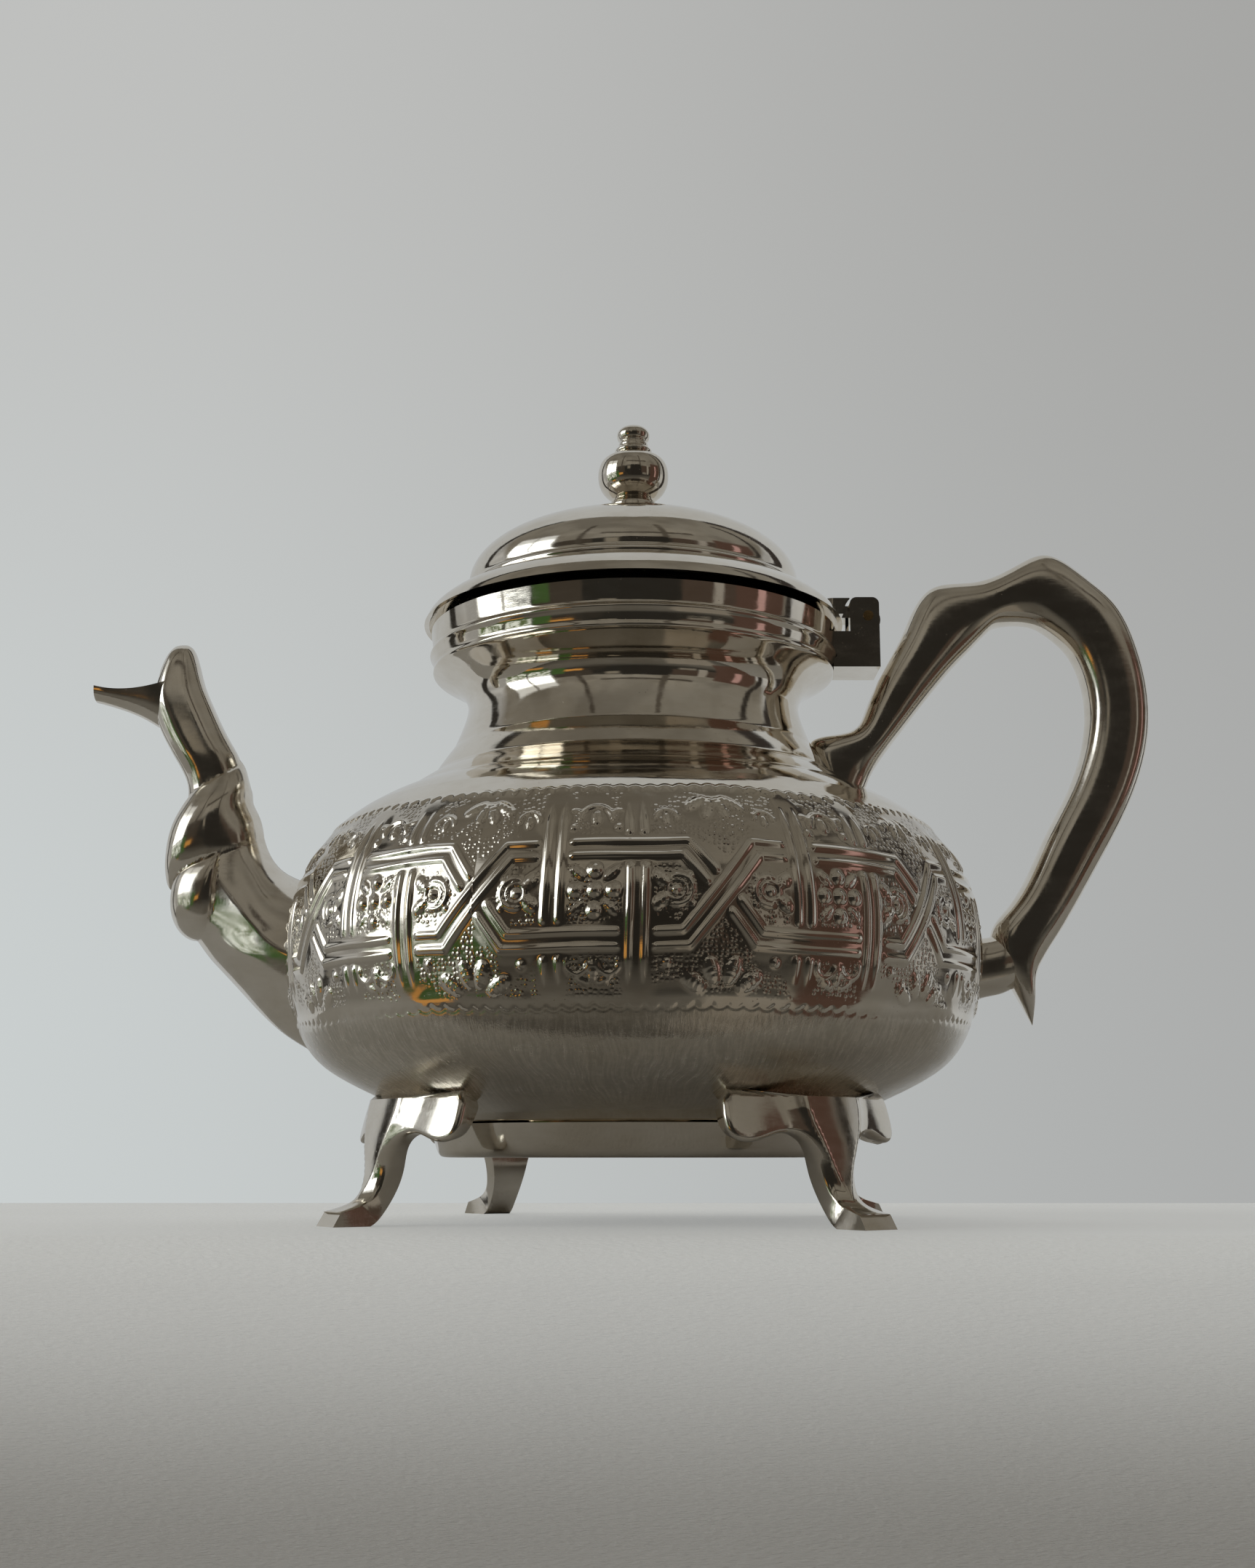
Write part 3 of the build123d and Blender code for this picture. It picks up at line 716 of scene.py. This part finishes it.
def outside_of_belly(inset):
    """A filled turning of the belly and shoulder, to cut what is soldered on."""
    whole = joined([BELLY] + SHOULDER, 1.0)
    whole = whole - outward(whole) * inset
    whole = np.concatenate([[(0.0, BELLY[0][1] + inset)], whole, [(0.0, whole[-1][1])]])
    faces = grid_faces(len(whole), CUTTER_STEPS, wrap_rows=True)
    return cutter("belly_body", turned_points(whole, CUTTER_STEPS), faces)


neck()
base()
filled_belly = outside_of_belly(0.5)


# ---- swept castings
def sweep_points(stations, count, cut_corner, shape=None):
    """Soft eight-sided sections between outer and inner (x, z) points; shape adds relief.

    Each station is outer x, z, inner x, z, half depth in Y and how crisp its corners are."""
    stations = np.array(stations, float)
    outer, inner, half, crisp = stations[:, 0:2], stations[:, 2:4], stations[:, 4], stations[:, 5:6]
    phi = np.arange(count) * 2 * math.pi / count
    c, s = np.cos(phi), np.sin(phi)
    norm = (np.abs(c) ** crisp + np.abs(s) ** crisp
            + ((np.abs(c) + np.abs(s)) / cut_corner) ** crisp) ** (1 / crisp)
    norm = norm / (1 + cut_corner ** -crisp) ** (1 / crisp)
    centre = (outer + inner) / 2
    across = (outer - inner) / 2
    reach = 1 / norm
    x = centre[:, :1] + across[:, :1] * (reach * c)
    z = centre[:, 1:] + across[:, 1:] * (reach * c)
    y = -half[:, None] * (reach * s)
    if shape is not None:
        length = np.linalg.norm(across, axis=1)[:, None]
        push = shape(phi[None, :], z)
        x = x + push * across[:, :1] / length * c
        z = z + push * across[:, 1:] / length * c
        y = y - push * s
    return np.stack([x, y, z], axis=-1)


def capped(grid):
    """Faces of a swept grid with its two ends closed."""
    rows, count = grid.shape[:2]
    faces = grid_faces(rows, count)
    faces.append(list(range(count)))
    faces.append([(rows - 1) * count + k for k in range(count)])
    return faces


def casting(name, points, faces, nodes=()):
    """A piece of cast silver on the pot."""
    return mesh_piece(name, points, faces, "pot", cast_metal, nodes)


def swept(name, grid, nodes=()):
    """A swept grid as a piece of cast silver."""
    return casting(name, grid.reshape(-1, 3), capped(grid), nodes)


SPOUT = [  # outer x, z, inner x, z, half depth, crispness
    (-60.0, 30.0, -66.0, 74.0, 18.5, 3), (-71.0, 36.4, -74.0, 76.6, 17.2, 3),
    (-80.6, 42.2, -79.6, 78.8, 15.6, 3), (-91.0, 52.2, -83.4, 82.2, 13.5, 3.5),
    (-99.9, 61.4, -85.4, 86.6, 11.2, 4), (-105.4, 69.0, -86.8, 91.2, 9.8, 5),
    (-107.0, 80.6, -88.9, 95.2, 8.6, 6), (-106.0, 90.5, -89.6, 98.4, 7.6, 8),
    (-104.5, 96.0, -90.8, 101.6, 7.0, 11), (-106.0, 103.0, -93.2, 107.0, 6.8, 13),
    (-108.8, 108.3, -96.0, 111.8, 6.6, 15), (-111.4, 113.5, -99.4, 118.6, 6.3, 16),
    (-113.0, 119.5, -101.6, 123.6, 5.9, 16), (-112.0, 126.0, -103.0, 128.6, 5.2, 13),
    (-110.4, 130.6, -104.3, 132.2, 3.9, 9), (-109.2, 132.6, -105.4, 133.2, 2.0, 5),
]
SPOUT_BORE = [  # x, z, radius
    (-70.0, 53.5, 10.5), (-74.0, 56.0, 10.5), (-84.0, 61.5, 10.0), (-91.5, 70.5, 7.0),
    (-96.5, 80.0, 5.6), (-98.6, 90.0, 4.8), (-98.0, 98.0, 4.4), (-100.4, 106.0, 4.2),
    (-104.2, 114.0, 4.0), (-108.6, 121.0, 3.7), (-114.0, 125.6, 3.7), (-120.0, 130.4, 3.7),
]
TWIST_DEPTH = 2.8
TWIST_SUNK = 0.7  # how far the valleys lie under the plain spout


def fold(z, low, high, peak):
    """The profile of one fold between two valleys, highest at its peak's share of the way."""
    share = np.clip((z - low) / np.maximum(high - low, 0.5), 0, 1)
    thick = np.clip((high - low) / 16.0, 0, 1) ** 0.6
    bent = np.where(share < peak, 0.5 * share / peak, 1 - 0.5 * (1 - share) / (1 - peak))
    return thick * np.sin(math.pi * bent) ** 0.6


def twist(phi, z):
    """The rope-like folds round the middle of the spout, which run down towards its outer edge."""
    at_front = phi < math.pi
    f = np.where(at_front, phi, 2 * math.pi - phi) / math.pi + 0 * z
    top = np.where(at_front, 93.5 + 12.0 * f, 106.0 - 6.0 * f)
    middle = np.where(at_front, 74.2 + 13.6 * f ** 0.9, 95.0 - 7.2 * f)
    low = np.where(at_front, 62.6 + 92.0 * f ** 2.65, 74.2 - 3.5 * f)
    upper = fold(z, middle, top, np.where(at_front, 0.3 + 0.5 * f, 0.5 + 0.3 * f))
    upper = upper * (1 - 0.7 * smoothstep(0.5, 1.0, f))
    lower = fold(z, np.minimum(low, middle), middle, 0.4)
    tail = fold(z, 62.6 - 2 * f, low, 0.55)
    fade = smoothstep(0.0, 0.8, f)
    back = np.maximum(upper * fade, (lower + tail) * (1 - fade))
    height = np.where(at_front, np.maximum(upper, lower), back)
    in_folds = smoothstep(58.0, 64.0, z) * smoothstep(107.0, 98.0, z)
    return TWIST_DEPTH * height - TWIST_SUNK * in_folds


def tube(line, count=32):
    """A round tube along (x, z, radius) points in the XZ plane."""
    along = directions(line[:, :2])
    phi = np.arange(count) * 2 * math.pi / count
    x = line[:, :1] - along[:, 1:] * line[:, 2:] * np.cos(phi)
    z = line[:, 1:2] + along[:, :1] * line[:, 2:] * np.cos(phi)
    y = line[:, 2:] * np.sin(phi)
    return np.stack([x, y, z], axis=-1)


def spout():
    """The twisted spout, bored and fitted to the belly."""
    grid = sweep_points(spline(SPOUT, 0.5), 120, 1.5, twist)
    piece = swept("spout", grid, ("spout_front_half", "spout_back_half"))
    bore_grid = tube(spline(SPOUT_BORE, 2.0))
    bore = cutter("bore", bore_grid.reshape(-1, 3), capped(bore_grid))
    cut(piece, filled_belly)
    cut(piece, bore)
    discard(bore)


LIP = [  # x, lower z, upper z, half width, wall
    (-106.5, 110.8, 124.4, 5.6, 1.6), (-110.5, 112.7, 123.2, 5.5, 1.4),
    (-114.5, 115.0, 122.3, 5.1, 1.2), (-118.5, 116.9, 121.9, 4.6, 1.2),
    (-122.5, 118.3, 122.0, 4.2, 1.2), (-125.6, 119.2, 122.5, 3.9, 1.2),
    (-126.8, 119.5, 122.8, 3.7, 1.2),
]
TROUGH = 0.8  # exponent of the trough's section; 1 would be an ellipse


def lip():
    """The beak: a trough open upwards that narrows to its tip."""
    phi = np.linspace(-math.pi / 2, math.pi / 2, 17)
    rows = []
    for x, low, high, half, wall in spline(LIP, 0.5):
        depth = high - low
        inner_half, inner_depth = half - wall, depth - wall
        out = [(x, -half * math.sin(a), high - depth * math.cos(a) ** TROUGH) for a in phi]
        back = [(x, inner_half * math.sin(a), high - inner_depth * math.cos(a) ** TROUGH) for a in phi]
        rows.append(out + back)
    swept("spout_lip", np.array(rows))


HANDLE = [  # outer x, z, inner x, z
    (42.6, 104.6, 52.8, 93.6), (41.6, 109.6, 54.6, 99.4), (50.5, 112.0, 58.2, 105.8),
    (54.9, 118.0, 63.7, 113.0), (60.0, 128.6, 69.2, 120.1), (64.2, 136.6, 74.8, 126.8),
    (71.2, 147.2, 80.5, 132.7), (81.8, 148.7, 84.4, 136.6), (92.4, 153.3, 88.6, 138.4),
    (98.4, 155.4, 93.2, 138.4), (107.6, 150.0, 98.0, 136.4), (114.6, 143.2, 101.8, 133.0),
    (119.3, 132.2, 105.0, 127.6), (121.3, 119.6, 106.7, 118.2), (120.1, 107.5, 105.4, 108.0),
    (116.4, 96.6, 102.4, 99.6), (107.2, 79.7, 95.2, 86.0), (98.0, 64.6, 86.8, 71.0),
    (93.0, 56.6, 82.4, 63.6), (92.0, 50.0, 86.6, 52.4), (91.2, 43.6, 91.0, 43.8),
]
HANDLE_HALVES = [6.3] * 16 + [6.2, 6.0, 5.4, 3.6, 0.4]  # half depths, thin at the spur
HANDLE_CRISP = 9.0
STUB = [  # as SPOUT
    (74.0, 46.6, 74.0, 66.8, 6.8, 5), (80.0, 49.8, 80.0, 63.6, 5.6, 6),
    (85.0, 51.0, 85.0, 64.5, 5.2, 6), (90.4, 54.0, 88.0, 64.0, 4.0, 6),
]


def handle():
    """The loop from the shoulder to the spur, and the stub that joins it to the belly."""
    stations = [(*station, half, HANDLE_CRISP) for station, half in zip(HANDLE, HANDLE_HALVES)]
    bar = swept("handle_bar", sweep_points(spline(stations, 0.8), 96, 1.56), ("handle",))
    cut(bar, filled_belly)
    stub = swept("handle_stub", sweep_points(spline(STUB, 0.8), 64, 1.5))
    cut(stub, filled_belly)


spout()
lip()
handle()

# ---- legs
LEG_ANGLES = {
    "leg_front_right": 41.0, "leg_front_left": -59.5,
    "leg_back_right": 127.0, "leg_back_left": -148.0,
}
LEG_LENGTH = 35.0  # along the shin, from the belly to the toe
LEG_RADIUS = 62.0  # the wings are bent round Z at this radius
LEG_STATIONS = [0.0, 7.5, 14.8, 21.2, 27.0, 31.0, LEG_LENGTH]
LEG_FRONT = [  # radius and height of the middle line at the stations, outside and inside
    (61.4, 26.6), (62.4, 22.6), (63.6, 16.4), (64.4, 10.5), (67.2, 5.4), (70.5, 3.8), (74.0, 2.8),
]
LEG_BACK = [
    (54.0, 25.0), (56.0, 21.5), (58.2, 17.0), (58.6, 10.5), (61.8, 3.2), (65.2, 0.0), (73.8, 0.0),
]
LEG_OUTLINE = [  # half the flat outline: distance from its middle line, along the shin
    (24.6, -1.0), (25.8, 2.0), (26.0, 6.0), (25.8, 10.0), (24.6, 13.0), (21.6, 14.2), (17.6, 13.6),
    (13.6, 12.4), (9.6, 12.8), (6.8, 15.4), (5.0, 20.0), (3.6, 26.0), (3.5, 31.0), (3.9, LEG_LENGTH),
]
RING_GAPS = (0.12, 0.35, 0.75, 1.3)  # rings of points this far inside the outline
GRID_GAP, GRID_STEP = 1.7, 0.55  # and a grid of points further in
LEG_EDGE = 1.3  # rounding along the outline
SHIELD = 2.2  # how far the central shield stands out
# along the shin: the shield's half width, the width of its sloping side, and how much of it is left
SHIELD_WIDTHS = ([0, 6, 10, 14, 20, 25, 35], [7.6, 7.4, 6.6, 5.0, 2.6, 0.6, 0.0])
SHIELD_SLOPES = ([0, 12, 18, 35], [7.5, 7.0, 4.0, 3.6])
SHIELD_FADE = ([0, 14, 26, 35], [1.0, 0.9, 0.6, 0.25])


def edge_distance(points, outline):
    """Distance from each point to a closed outline."""
    best = np.full(len(points), np.inf)
    for a, b in zip(outline, np.roll(outline, -1, 0)):
        d = b - a
        t = np.clip(((points - a) @ d) / max(d @ d, 1e-9), 0, 1)
        best = np.minimum(best, np.linalg.norm(points - a - t[:, None] * d, axis=1))
    return best


def within(points, outline):
    """Which points lie inside a closed outline."""
    inside = np.zeros(len(points), bool)
    for a, b in zip(outline, np.roll(outline, -1, 0)):
        crosses = (a[1] > points[:, 1]) != (b[1] > points[:, 1])
        rise = b[1] - a[1] if b[1] != a[1] else 1e-9
        inside ^= crosses & (points[:, 0] < a[0] + (points[:, 1] - a[1]) * (b[0] - a[0]) / rise)
    return inside


def leg_plan():
    """Points over the leg's flat outline, with triangles and their distances to its edge."""
    half = spline(LEG_OUTLINE, 0.8)
    outline = np.concatenate([half, half[::-1] * np.array([[-1, 1]])])
    along = np.roll(outline, -1, 0) - np.roll(outline, 1, 0)
    along /= np.linalg.norm(along, axis=1)[:, None]
    inwards = np.stack([-along[:, 1], along[:, 0]], axis=1)
    rings = [outline + inwards * gap for gap in RING_GAPS]
    columns = np.arange(-26, 26.1, GRID_STEP)
    rows = np.arange(-1.0, LEG_LENGTH + 0.1, GRID_STEP)
    grid = np.stack(np.meshgrid(columns, rows), axis=-1).reshape(-1, 2)
    candidates = np.concatenate(rings + [grid])
    least = [np.full(len(outline), gap * 0.9) for gap in RING_GAPS] + [np.full(len(grid), GRID_GAP)]
    keep = within(candidates, outline) & (edge_distance(candidates, outline) > np.concatenate(least))
    points = np.concatenate([outline, candidates[keep]])
    loop = list(range(len(outline)))
    edges = [(k, (k + 1) % len(outline)) for k in loop]
    result = delaunay_2d_cdt([Vector(p) for p in points], edges, [loop], 1, 1e-6)
    points = np.array([tuple(v) for v in result[0]])
    return points, [list(f) for f in result[2]], edge_distance(points, outline)


def along_curve(table, t):
    """Radius and height of a leg's side curve at stations t."""
    fine = spline([(*p, w) for p, w in zip(table, LEG_STATIONS)], 0.4)
    return np.interp(t, fine[:, 2], fine[:, 0]), np.interp(t, fine[:, 2], fine[:, 1])


def rim_faces(triangles, middle):
    """Faces that join two copies of the triangles, the second numbered from middle, at their edge."""
    sides = dict.fromkeys((a, b) for f in triangles for a, b in zip(f, f[1:] + f[:1]))
    return [[b, a, middle + a, middle + b] for a, b in sides if (b, a) not in sides]


def leg_mesh():
    """A bracket leg at the front: rounded wings, a shield on the shin and a splayed foot."""
    plan, triangles, edge = leg_plan()
    u, t = plan[:, 0], np.clip(plan[:, 1], 0, LEG_LENGTH)
    above = np.minimum(plan[:, 1], 0)
    rf, zf = along_curve(LEG_FRONT, t)
    rb, zb = along_curve(LEG_BACK, t)
    width = np.interp(t, *SHIELD_WIDTHS)
    reach = np.interp(t, *SHIELD_SLOPES)
    slope = np.clip((width + reach - np.abs(u)) / reach, 0, 1) ** 2
    near_edge = 1 - np.clip(edge / LEG_EDGE, 0, 1)
    round_off = LEG_EDGE * (1 - np.sqrt(np.clip(1 - near_edge ** 2, 0, 1)))
    shield = SHIELD * (slope - 1) * np.interp(t, *SHIELD_FADE)
    angle = u / LEG_RADIUS
    front = round_z(rf + shield - round_off, zf - above, angle)
    back = round_z(rb, np.maximum(zb, 0) - above, angle)
    middle = len(plan)
    faces = triangles + [[middle + k for k in reversed(f)] for f in triangles]
    return np.concatenate([front, back]), faces + rim_faces(triangles, middle)


def legs():
    """The same leg turned to four angles, each fitted to the belly."""
    points, faces = leg_mesh()
    for name, degrees in LEG_ANGLES.items():
        a = math.radians(degrees)
        turn = np.array([[math.cos(a), math.sin(a), 0], [-math.sin(a), math.cos(a), 0], [0, 0, 1]])
        cut(casting(name + "_cast", points @ turn, faces, (name,)), filled_belly)


legs()
discard(filled_belly)

# ---- lid, finial and hinge
DOME_RADIUS, DOME_BASE, DOME_RISE = 39.2, 147.0, 16.9
FLANGE = [(49.5, 136.9), (48.4, 139.0), (46.2, 141.1), (43.6, 142.8), (40.4, 143.9)]
LID_BEAD = [(40.4, 143.9), (40.5, 144.8), (39.3, 145.6)]
LID_GROOVE = [(39.0, 146.0), (39.15, 146.5)]
FLANGE_UNDER = [
    (48.4, 136.9), (47.4, 138.4), (45.4, 140.2), (43.1, 141.7), (40.0, 142.9), (38.1, 143.4),
]
BEZEL = [
    (45.2, 141.0), (45.2, 135.0), (45.1, 131.4), (44.9, 130.8), (44.5, 130.6),
    (44.2, 130.9), (44.1, 131.5), (44.1, 135.0), (44.1, 141.6),
]
KNOB_BASE = 163.6
KNOB = [  # radius and height over the knob's base
    [(6.1, -1.0), (6.1, 1.5), (6.0, 4.4)],
    [(6.0, 4.4), (5.4, 5.2), (4.7, 5.8)],
    [(4.7, 5.8), (7.3, 8.0), (8.5, 12.2), (7.2, 16.0), (3.9, 17.6)],
    [(3.9, 17.6), (4.5, 18.2), (4.3, 18.9)],
    [(4.3, 18.9), (3.6, 19.3), (3.6, 20.2)],
    [(3.6, 20.2), (3.2, 20.8), (3.7, 21.3)],
    [(3.7, 21.3), (3.95, 22.8), (3.0, 24.2), (0.0, 24.8)],
]


def dome(shrink, steps=60):
    """The dome's line from its rim to near the axis."""
    t = np.linspace(0, math.pi / 2, steps)
    rise = (DOME_RISE - shrink) * np.sin(t) ** 0.92
    return np.stack([(DOME_RADIUS - shrink) * np.cos(t), DOME_BASE + rise], axis=1)


def lid():
    """Flange, bead, groove and dome, with a wall."""
    outside = np.concatenate([spline(FLANGE, 0.4), spline(LID_BEAD, 0.2)[1:], LID_GROOVE, dome(0)])
    outside = softened(outside, 1)
    outside[-1, 0] = 0.0
    under = np.concatenate([spline(FLANGE_UNDER, 1.0), [(38.1, 145.4)], dome(WALL, 30)])
    under[-1, 0] = 0.0
    loop = np.concatenate([outside, under[::-1]])
    lathe("lid", loop, "lid", lid_metal, ("lid_shell",), 224)
    lathe("bezel", BEZEL, "lid", lid_metal, ("lid_bezel",))


def knob():
    """The turned finial: collar, ball, bead and tip."""
    line = softened(joined(KNOB, 0.3), 1)
    line = np.concatenate([line, [(0.0, KNOB[0][0][1])]]) + np.array([0.0, KNOB_BASE])
    lathe("knob", line, "lid", lid_metal, ("finial",), 128)


def small_cad_parts():
    """Metals and small bevels for the CAD parts that are shown as they are."""
    for name, material in (
        ("finial_washer", steel), ("finial_screw", steel), ("hinge_pin", brass),
        ("hinge_block", cast_metal), ("hinge_leaf", cast_metal),
    ):
        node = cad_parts[name]
        node.data.materials.clear()
        node.data.materials.append(material)
        edges = node.modifiers.new("soft_edges", "BEVEL")
        edges.width = 0.3 * MM
        edges.segments = 2
        edges.limit_method = "ANGLE"
        edges.angle_limit = math.radians(40)


lid()
knob()
small_cad_parts()

# ---- camera
CAMERA_PLACE = (-0.0014, -0.435, 0.0139)
CAMERA_PITCH = 101.18  # degrees; 90 is level
CAMERA_LENS = 43.41


def camera():
    """A low camera at the front that looks a little upwards."""
    data = bpy.data.cameras.new("camera")
    data.sensor_width = 36.0
    data.lens = CAMERA_LENS
    data.clip_start = 0.01
    data.dof.use_dof = False
    seat = in_scene("camera", data)
    seat.location = CAMERA_PLACE
    seat.rotation_euler = (math.radians(CAMERA_PITCH), 0.0, 0.0)
    bpy.context.scene.camera = seat


# ---- floor and light
SLAB_FRONT, SLAB_BACK, SLAB_SIDE, SLAB_BOTTOM, SLAB_ROUND = -85.0, 170.0, 700.0, -420.0, 9.0


def pale_floor():
    """A dull pale material. Its glow, seen by the camera only, is stronger near the slab's top."""
    material, n = new_material("pale_floor")
    place = n.place()
    weave = n.noise(n.scaled(place, (1.0, 1.0, 6.0)), 700.0, 3.0)
    tone = n.mix(n.noise(place, 14.0, 3.0), (0.62, 0.60, 0.565, 1), (0.70, 0.68, 0.645, 1))
    # painted light: an added glow, seen by the camera only, brightens the slab towards its top in place of
    # backlight on the cloth
    glow = n.times(n.camera_ray(), n.soft(n.split(place)[2], -0.055, -0.002, 0.06, 0.30))
    n.principled({
        "Base Color": tone, "Roughness": 0.95, "Normal": n.bump(weave, 0.0003),
        "Emission Color": (0.97, 1.0, 0.99, 1), "Emission Strength": glow,
    })
    return material


def floor():
    """A pale slab with a rounded front edge, under the feet."""
    line = [(SLAB_BACK, 0.0)]
    for a in np.linspace(0, math.pi / 2, 9):
        y = SLAB_FRONT + SLAB_ROUND - SLAB_ROUND * math.sin(a)
        line.append((y, -SLAB_ROUND + SLAB_ROUND * math.cos(a)))
    line += [(SLAB_FRONT, SLAB_BOTTOM), (SLAB_BACK, SLAB_BOTTOM)]
    grid = np.array([[(x, y, z) for y, z in line] for x in (-SLAB_SIDE, SLAB_SIDE)])
    mesh = closed_mesh("floor", grid.reshape(-1, 3), capped(grid))
    smooth(mesh, 30.0)
    mesh.materials.append(pale_floor())
    in_scene("floor", mesh)


TONES = [  # degrees, where -90 is down, 0 in front, 90 up and 180 behind, and brightness
    (-90, 0.06), (-62, 0.075), (-50, 0.115), (-36, 0.11), (-28, 0.10), (-20, 0.06), (-14, 0.024),
    (9, 0.022), (19, 0.03), (23.5, 0.24), (42, 0.25), (60, 0.19), (100, 0.20), (112, 0.22),
    (123, 0.5), (270, 0.5),
]
WARM, COOL = (1.0, 0.935, 0.80), (0.98, 1.0, 1.0)
BRIGHT = 0.5  # tones at least this bright are cool, the others warm
CARDS = [  # azimuth from and to, elevation from and to, blur (degrees), colour
    (-124, -117, -40, 65, 1.2, (0.03, 0.028, 0.025)),  # dark edges beside and behind the pot
    (112, 124, -40, 65, 1.5, (0.035, 0.03, 0.027)),
    (92, 97, -40, 60, 1.2, (0.03, 0.026, 0.022)),
    (-19, -10, 9, 18, 1.5, (0.20, 0.18, 0.145)),  # light and dark fields in front
    (-8, 24, -15, 23, 1.5, (0.022, 0.02, 0.017)),
    (24, 60, -62, -26, 3.0, (0.20, 0.18, 0.15)),
    (30, 42, -10, 12, 1.5, (0.17, 0.155, 0.13)),
    (26, 58, -3, 19, 1.5, (0.06, 0.044, 0.034)),
    (-56, -28, -1, 19, 1.5, (0.05, 0.042, 0.033)),
    (-24, 44, 33, 37, 1.2, (0.06, 0.052, 0.042)),  # thin lines
    (20, 25, 22, 62, 1.2, (0.08, 0.07, 0.057)),
    (-40, -36, 10, 60, 1.2, (0.06, 0.052, 0.042)),
    (44, 50, -8, 20, 1.2, (0.26, 0.24, 0.21)),
    (57, 90, -30, 27, 1.5, (0.075, 0.045, 0.034)),  # brown and pink at the right
    (72, 77, -8, 22, 1.0, (0.42, 0.26, 0.24)),
    (-52, -34, -9, -2, 1.2, (0.55, 0.27, 0.07)),  # orange and green at the left
    (-57, -47, -16, 6, 1.2, (0.05, 0.10, 0.03)),
    (-95, -60, -20, -12, 1.5, (0.05, 0.09, 0.03)),
    (-93, -66, -26, -20, 1.5, (0.50, 0.25, 0.07)),
]
WINDOW = (-95, -58, -12, 38, 1.2)
POST, CROSSBAR = (-77.2, -75.0, 0.4), (4.0, 6.2, 0.4)
BAR_SHADE = 0.85  # how much of the window's light a bar takes away
BACKDROP_HIGH = ((0.52, 0.525, 0.515, 1), (0.375, 0.375, 0.365, 1))  # left, right
BACKDROP_LOW = ((0.60, 0.635, 0.635, 1), (0.40, 0.405, 0.40, 1))


def tones(n, over):
    """A ramp of tones from below, over the front and the top, to behind and below."""
    ramp = n.add("ShaderNodeValToRGB")
    turned = n.add("ShaderNodeMapRange", {0: over, 1: -90.0, 2: 270.0})
    n.feed(ramp.inputs[0], turned.outputs[0])
    elements = ramp.color_ramp.elements
    elements.remove(elements[-1])
    for k, (angle, value) in enumerate(TONES):
        where = (angle + 90) / 360
        element = elements[0] if k == 0 else elements.new(where)
        element.position = where
        tint = WARM if value < BRIGHT else COOL
        element.color = (value * tint[0], value * tint[1], value * tint[2], 1)
    return ramp.outputs[0]


def patch(n, az, el, az_low, az_high, el_low, el_high, blur):
    """1 inside a soft-edged rectangle of directions, 0 outside."""
    return n.times(n.band(az, az_low, az_high, blur), n.band(el, el_low, el_high, blur))


def window(n, ray, az, el, colour):
    """A bright barred window at the left, with leaves low in it, mixed into the surroundings."""
    bars = n.math("MAXIMUM", n.band(az, *POST), n.band(el, *CROSSBAR))
    pane = n.times(patch(n, az, el, *WINDOW), n.math("SUBTRACT", 1.0, n.times(bars, BAR_SHADE)))
    leaves = n.times(n.soft(el, 9.0, -2.0), n.soft(n.noise(ray, 14.0, 3.0, 0.6), 0.42, 0.56))
    sky = n.mix(n.soft(el, 1.0, 7.0), (0.85, 0.92, 0.88, 1), (2.5, 2.65, 2.7, 1))
    sky = n.mix(n.soft(el, 26.0, 32.0), sky, (0.7, 0.72, 0.72, 1))
    return n.mix(pane, colour, n.mix(leaves, sky, (0.12, 0.16, 0.07, 1)))


def backdrop(n, x, z):
    """What the camera sees behind the pot: plain grey, lighter at the left and low down."""
    low = n.mix(n.soft(x, -0.45, 0.45), *BACKDROP_LOW)
    high = n.mix(n.soft(x, -0.3, 0.4), *BACKDROP_HIGH)
    return n.mix(n.soft(z, 0.05, 0.55), low, high)


def studio():
    """Tones, clouds, cards and a window for the metal to mirror, and the camera's backdrop."""
    world = bpy.data.worlds.new("studio")
    bpy.context.scene.world = world
    world.use_nodes = True
    n = Nodes(world.node_tree)
    ray = n.add("ShaderNodeTexCoord").outputs["Generated"]
    x, y, z = n.split(ray)
    front = n.times(y, -1.0)
    degrees = 180 / math.pi
    az = n.times(n.math("ARCTAN2", x, front), degrees)
    el = n.times(n.math("ARCSINE", z), degrees)
    over = n.times(n.math("ARCTAN2", z, front), degrees)
    over = n.plus(over, n.times(n.math("LESS_THAN", over, -90.0), 360.0))

    colour = tones(n, over)
    clouds = n.times(n.soft(n.noise(ray, 2.2, 3.0), 0.4, 0.62), 0.35)
    colour = n.mix(clouds, colour, (0.05, 0.042, 0.032, 1))
    behind = n.soft(n.math("ABSOLUTE", az), 119.0, 123.0)
    colour = n.mix(behind, colour, (0.47, 0.485, 0.49, 1))
    for *where, tint in CARDS:
        colour = n.mix(patch(n, az, el, *where), colour, (*tint, 1))
    colour = window(n, ray, az, el, colour)

    shown = n.mix(n.camera_ray(), colour, backdrop(n, x, z))
    background = n.add("ShaderNodeBackground", {"Color": shown, "Strength": 1.0})
    output = n.add("ShaderNodeOutputWorld")
    n.feed(output.inputs["Surface"], background.outputs[0])


LAMP_PLACE = (-1.1, -1.3, -0.12)
LAMP_TARGET = (0.0, 0.0, 0.03)
LAMP_POWER = 4.0


def soft_lamp():
    """A large soft lamp, low at the left in front, that isn't mirrored in the metal."""
    data = bpy.data.lights.new("soft_lamp", "AREA")
    data.shape = "RECTANGLE"
    data.size = 0.9
    data.size_y = 0.7
    data.energy = LAMP_POWER
    lamp = in_scene("soft_lamp", data)
    lamp.location = LAMP_PLACE
    lamp.rotation_euler = (Vector(LAMP_TARGET) - lamp.location).to_track_quat("-Z", "Y").to_euler()
    lamp.visible_glossy = False


camera()
floor()
studio()
soft_lamp()

scene = bpy.context.scene
scene.view_settings.view_transform = "Standard"
scene.view_settings.look = "None"
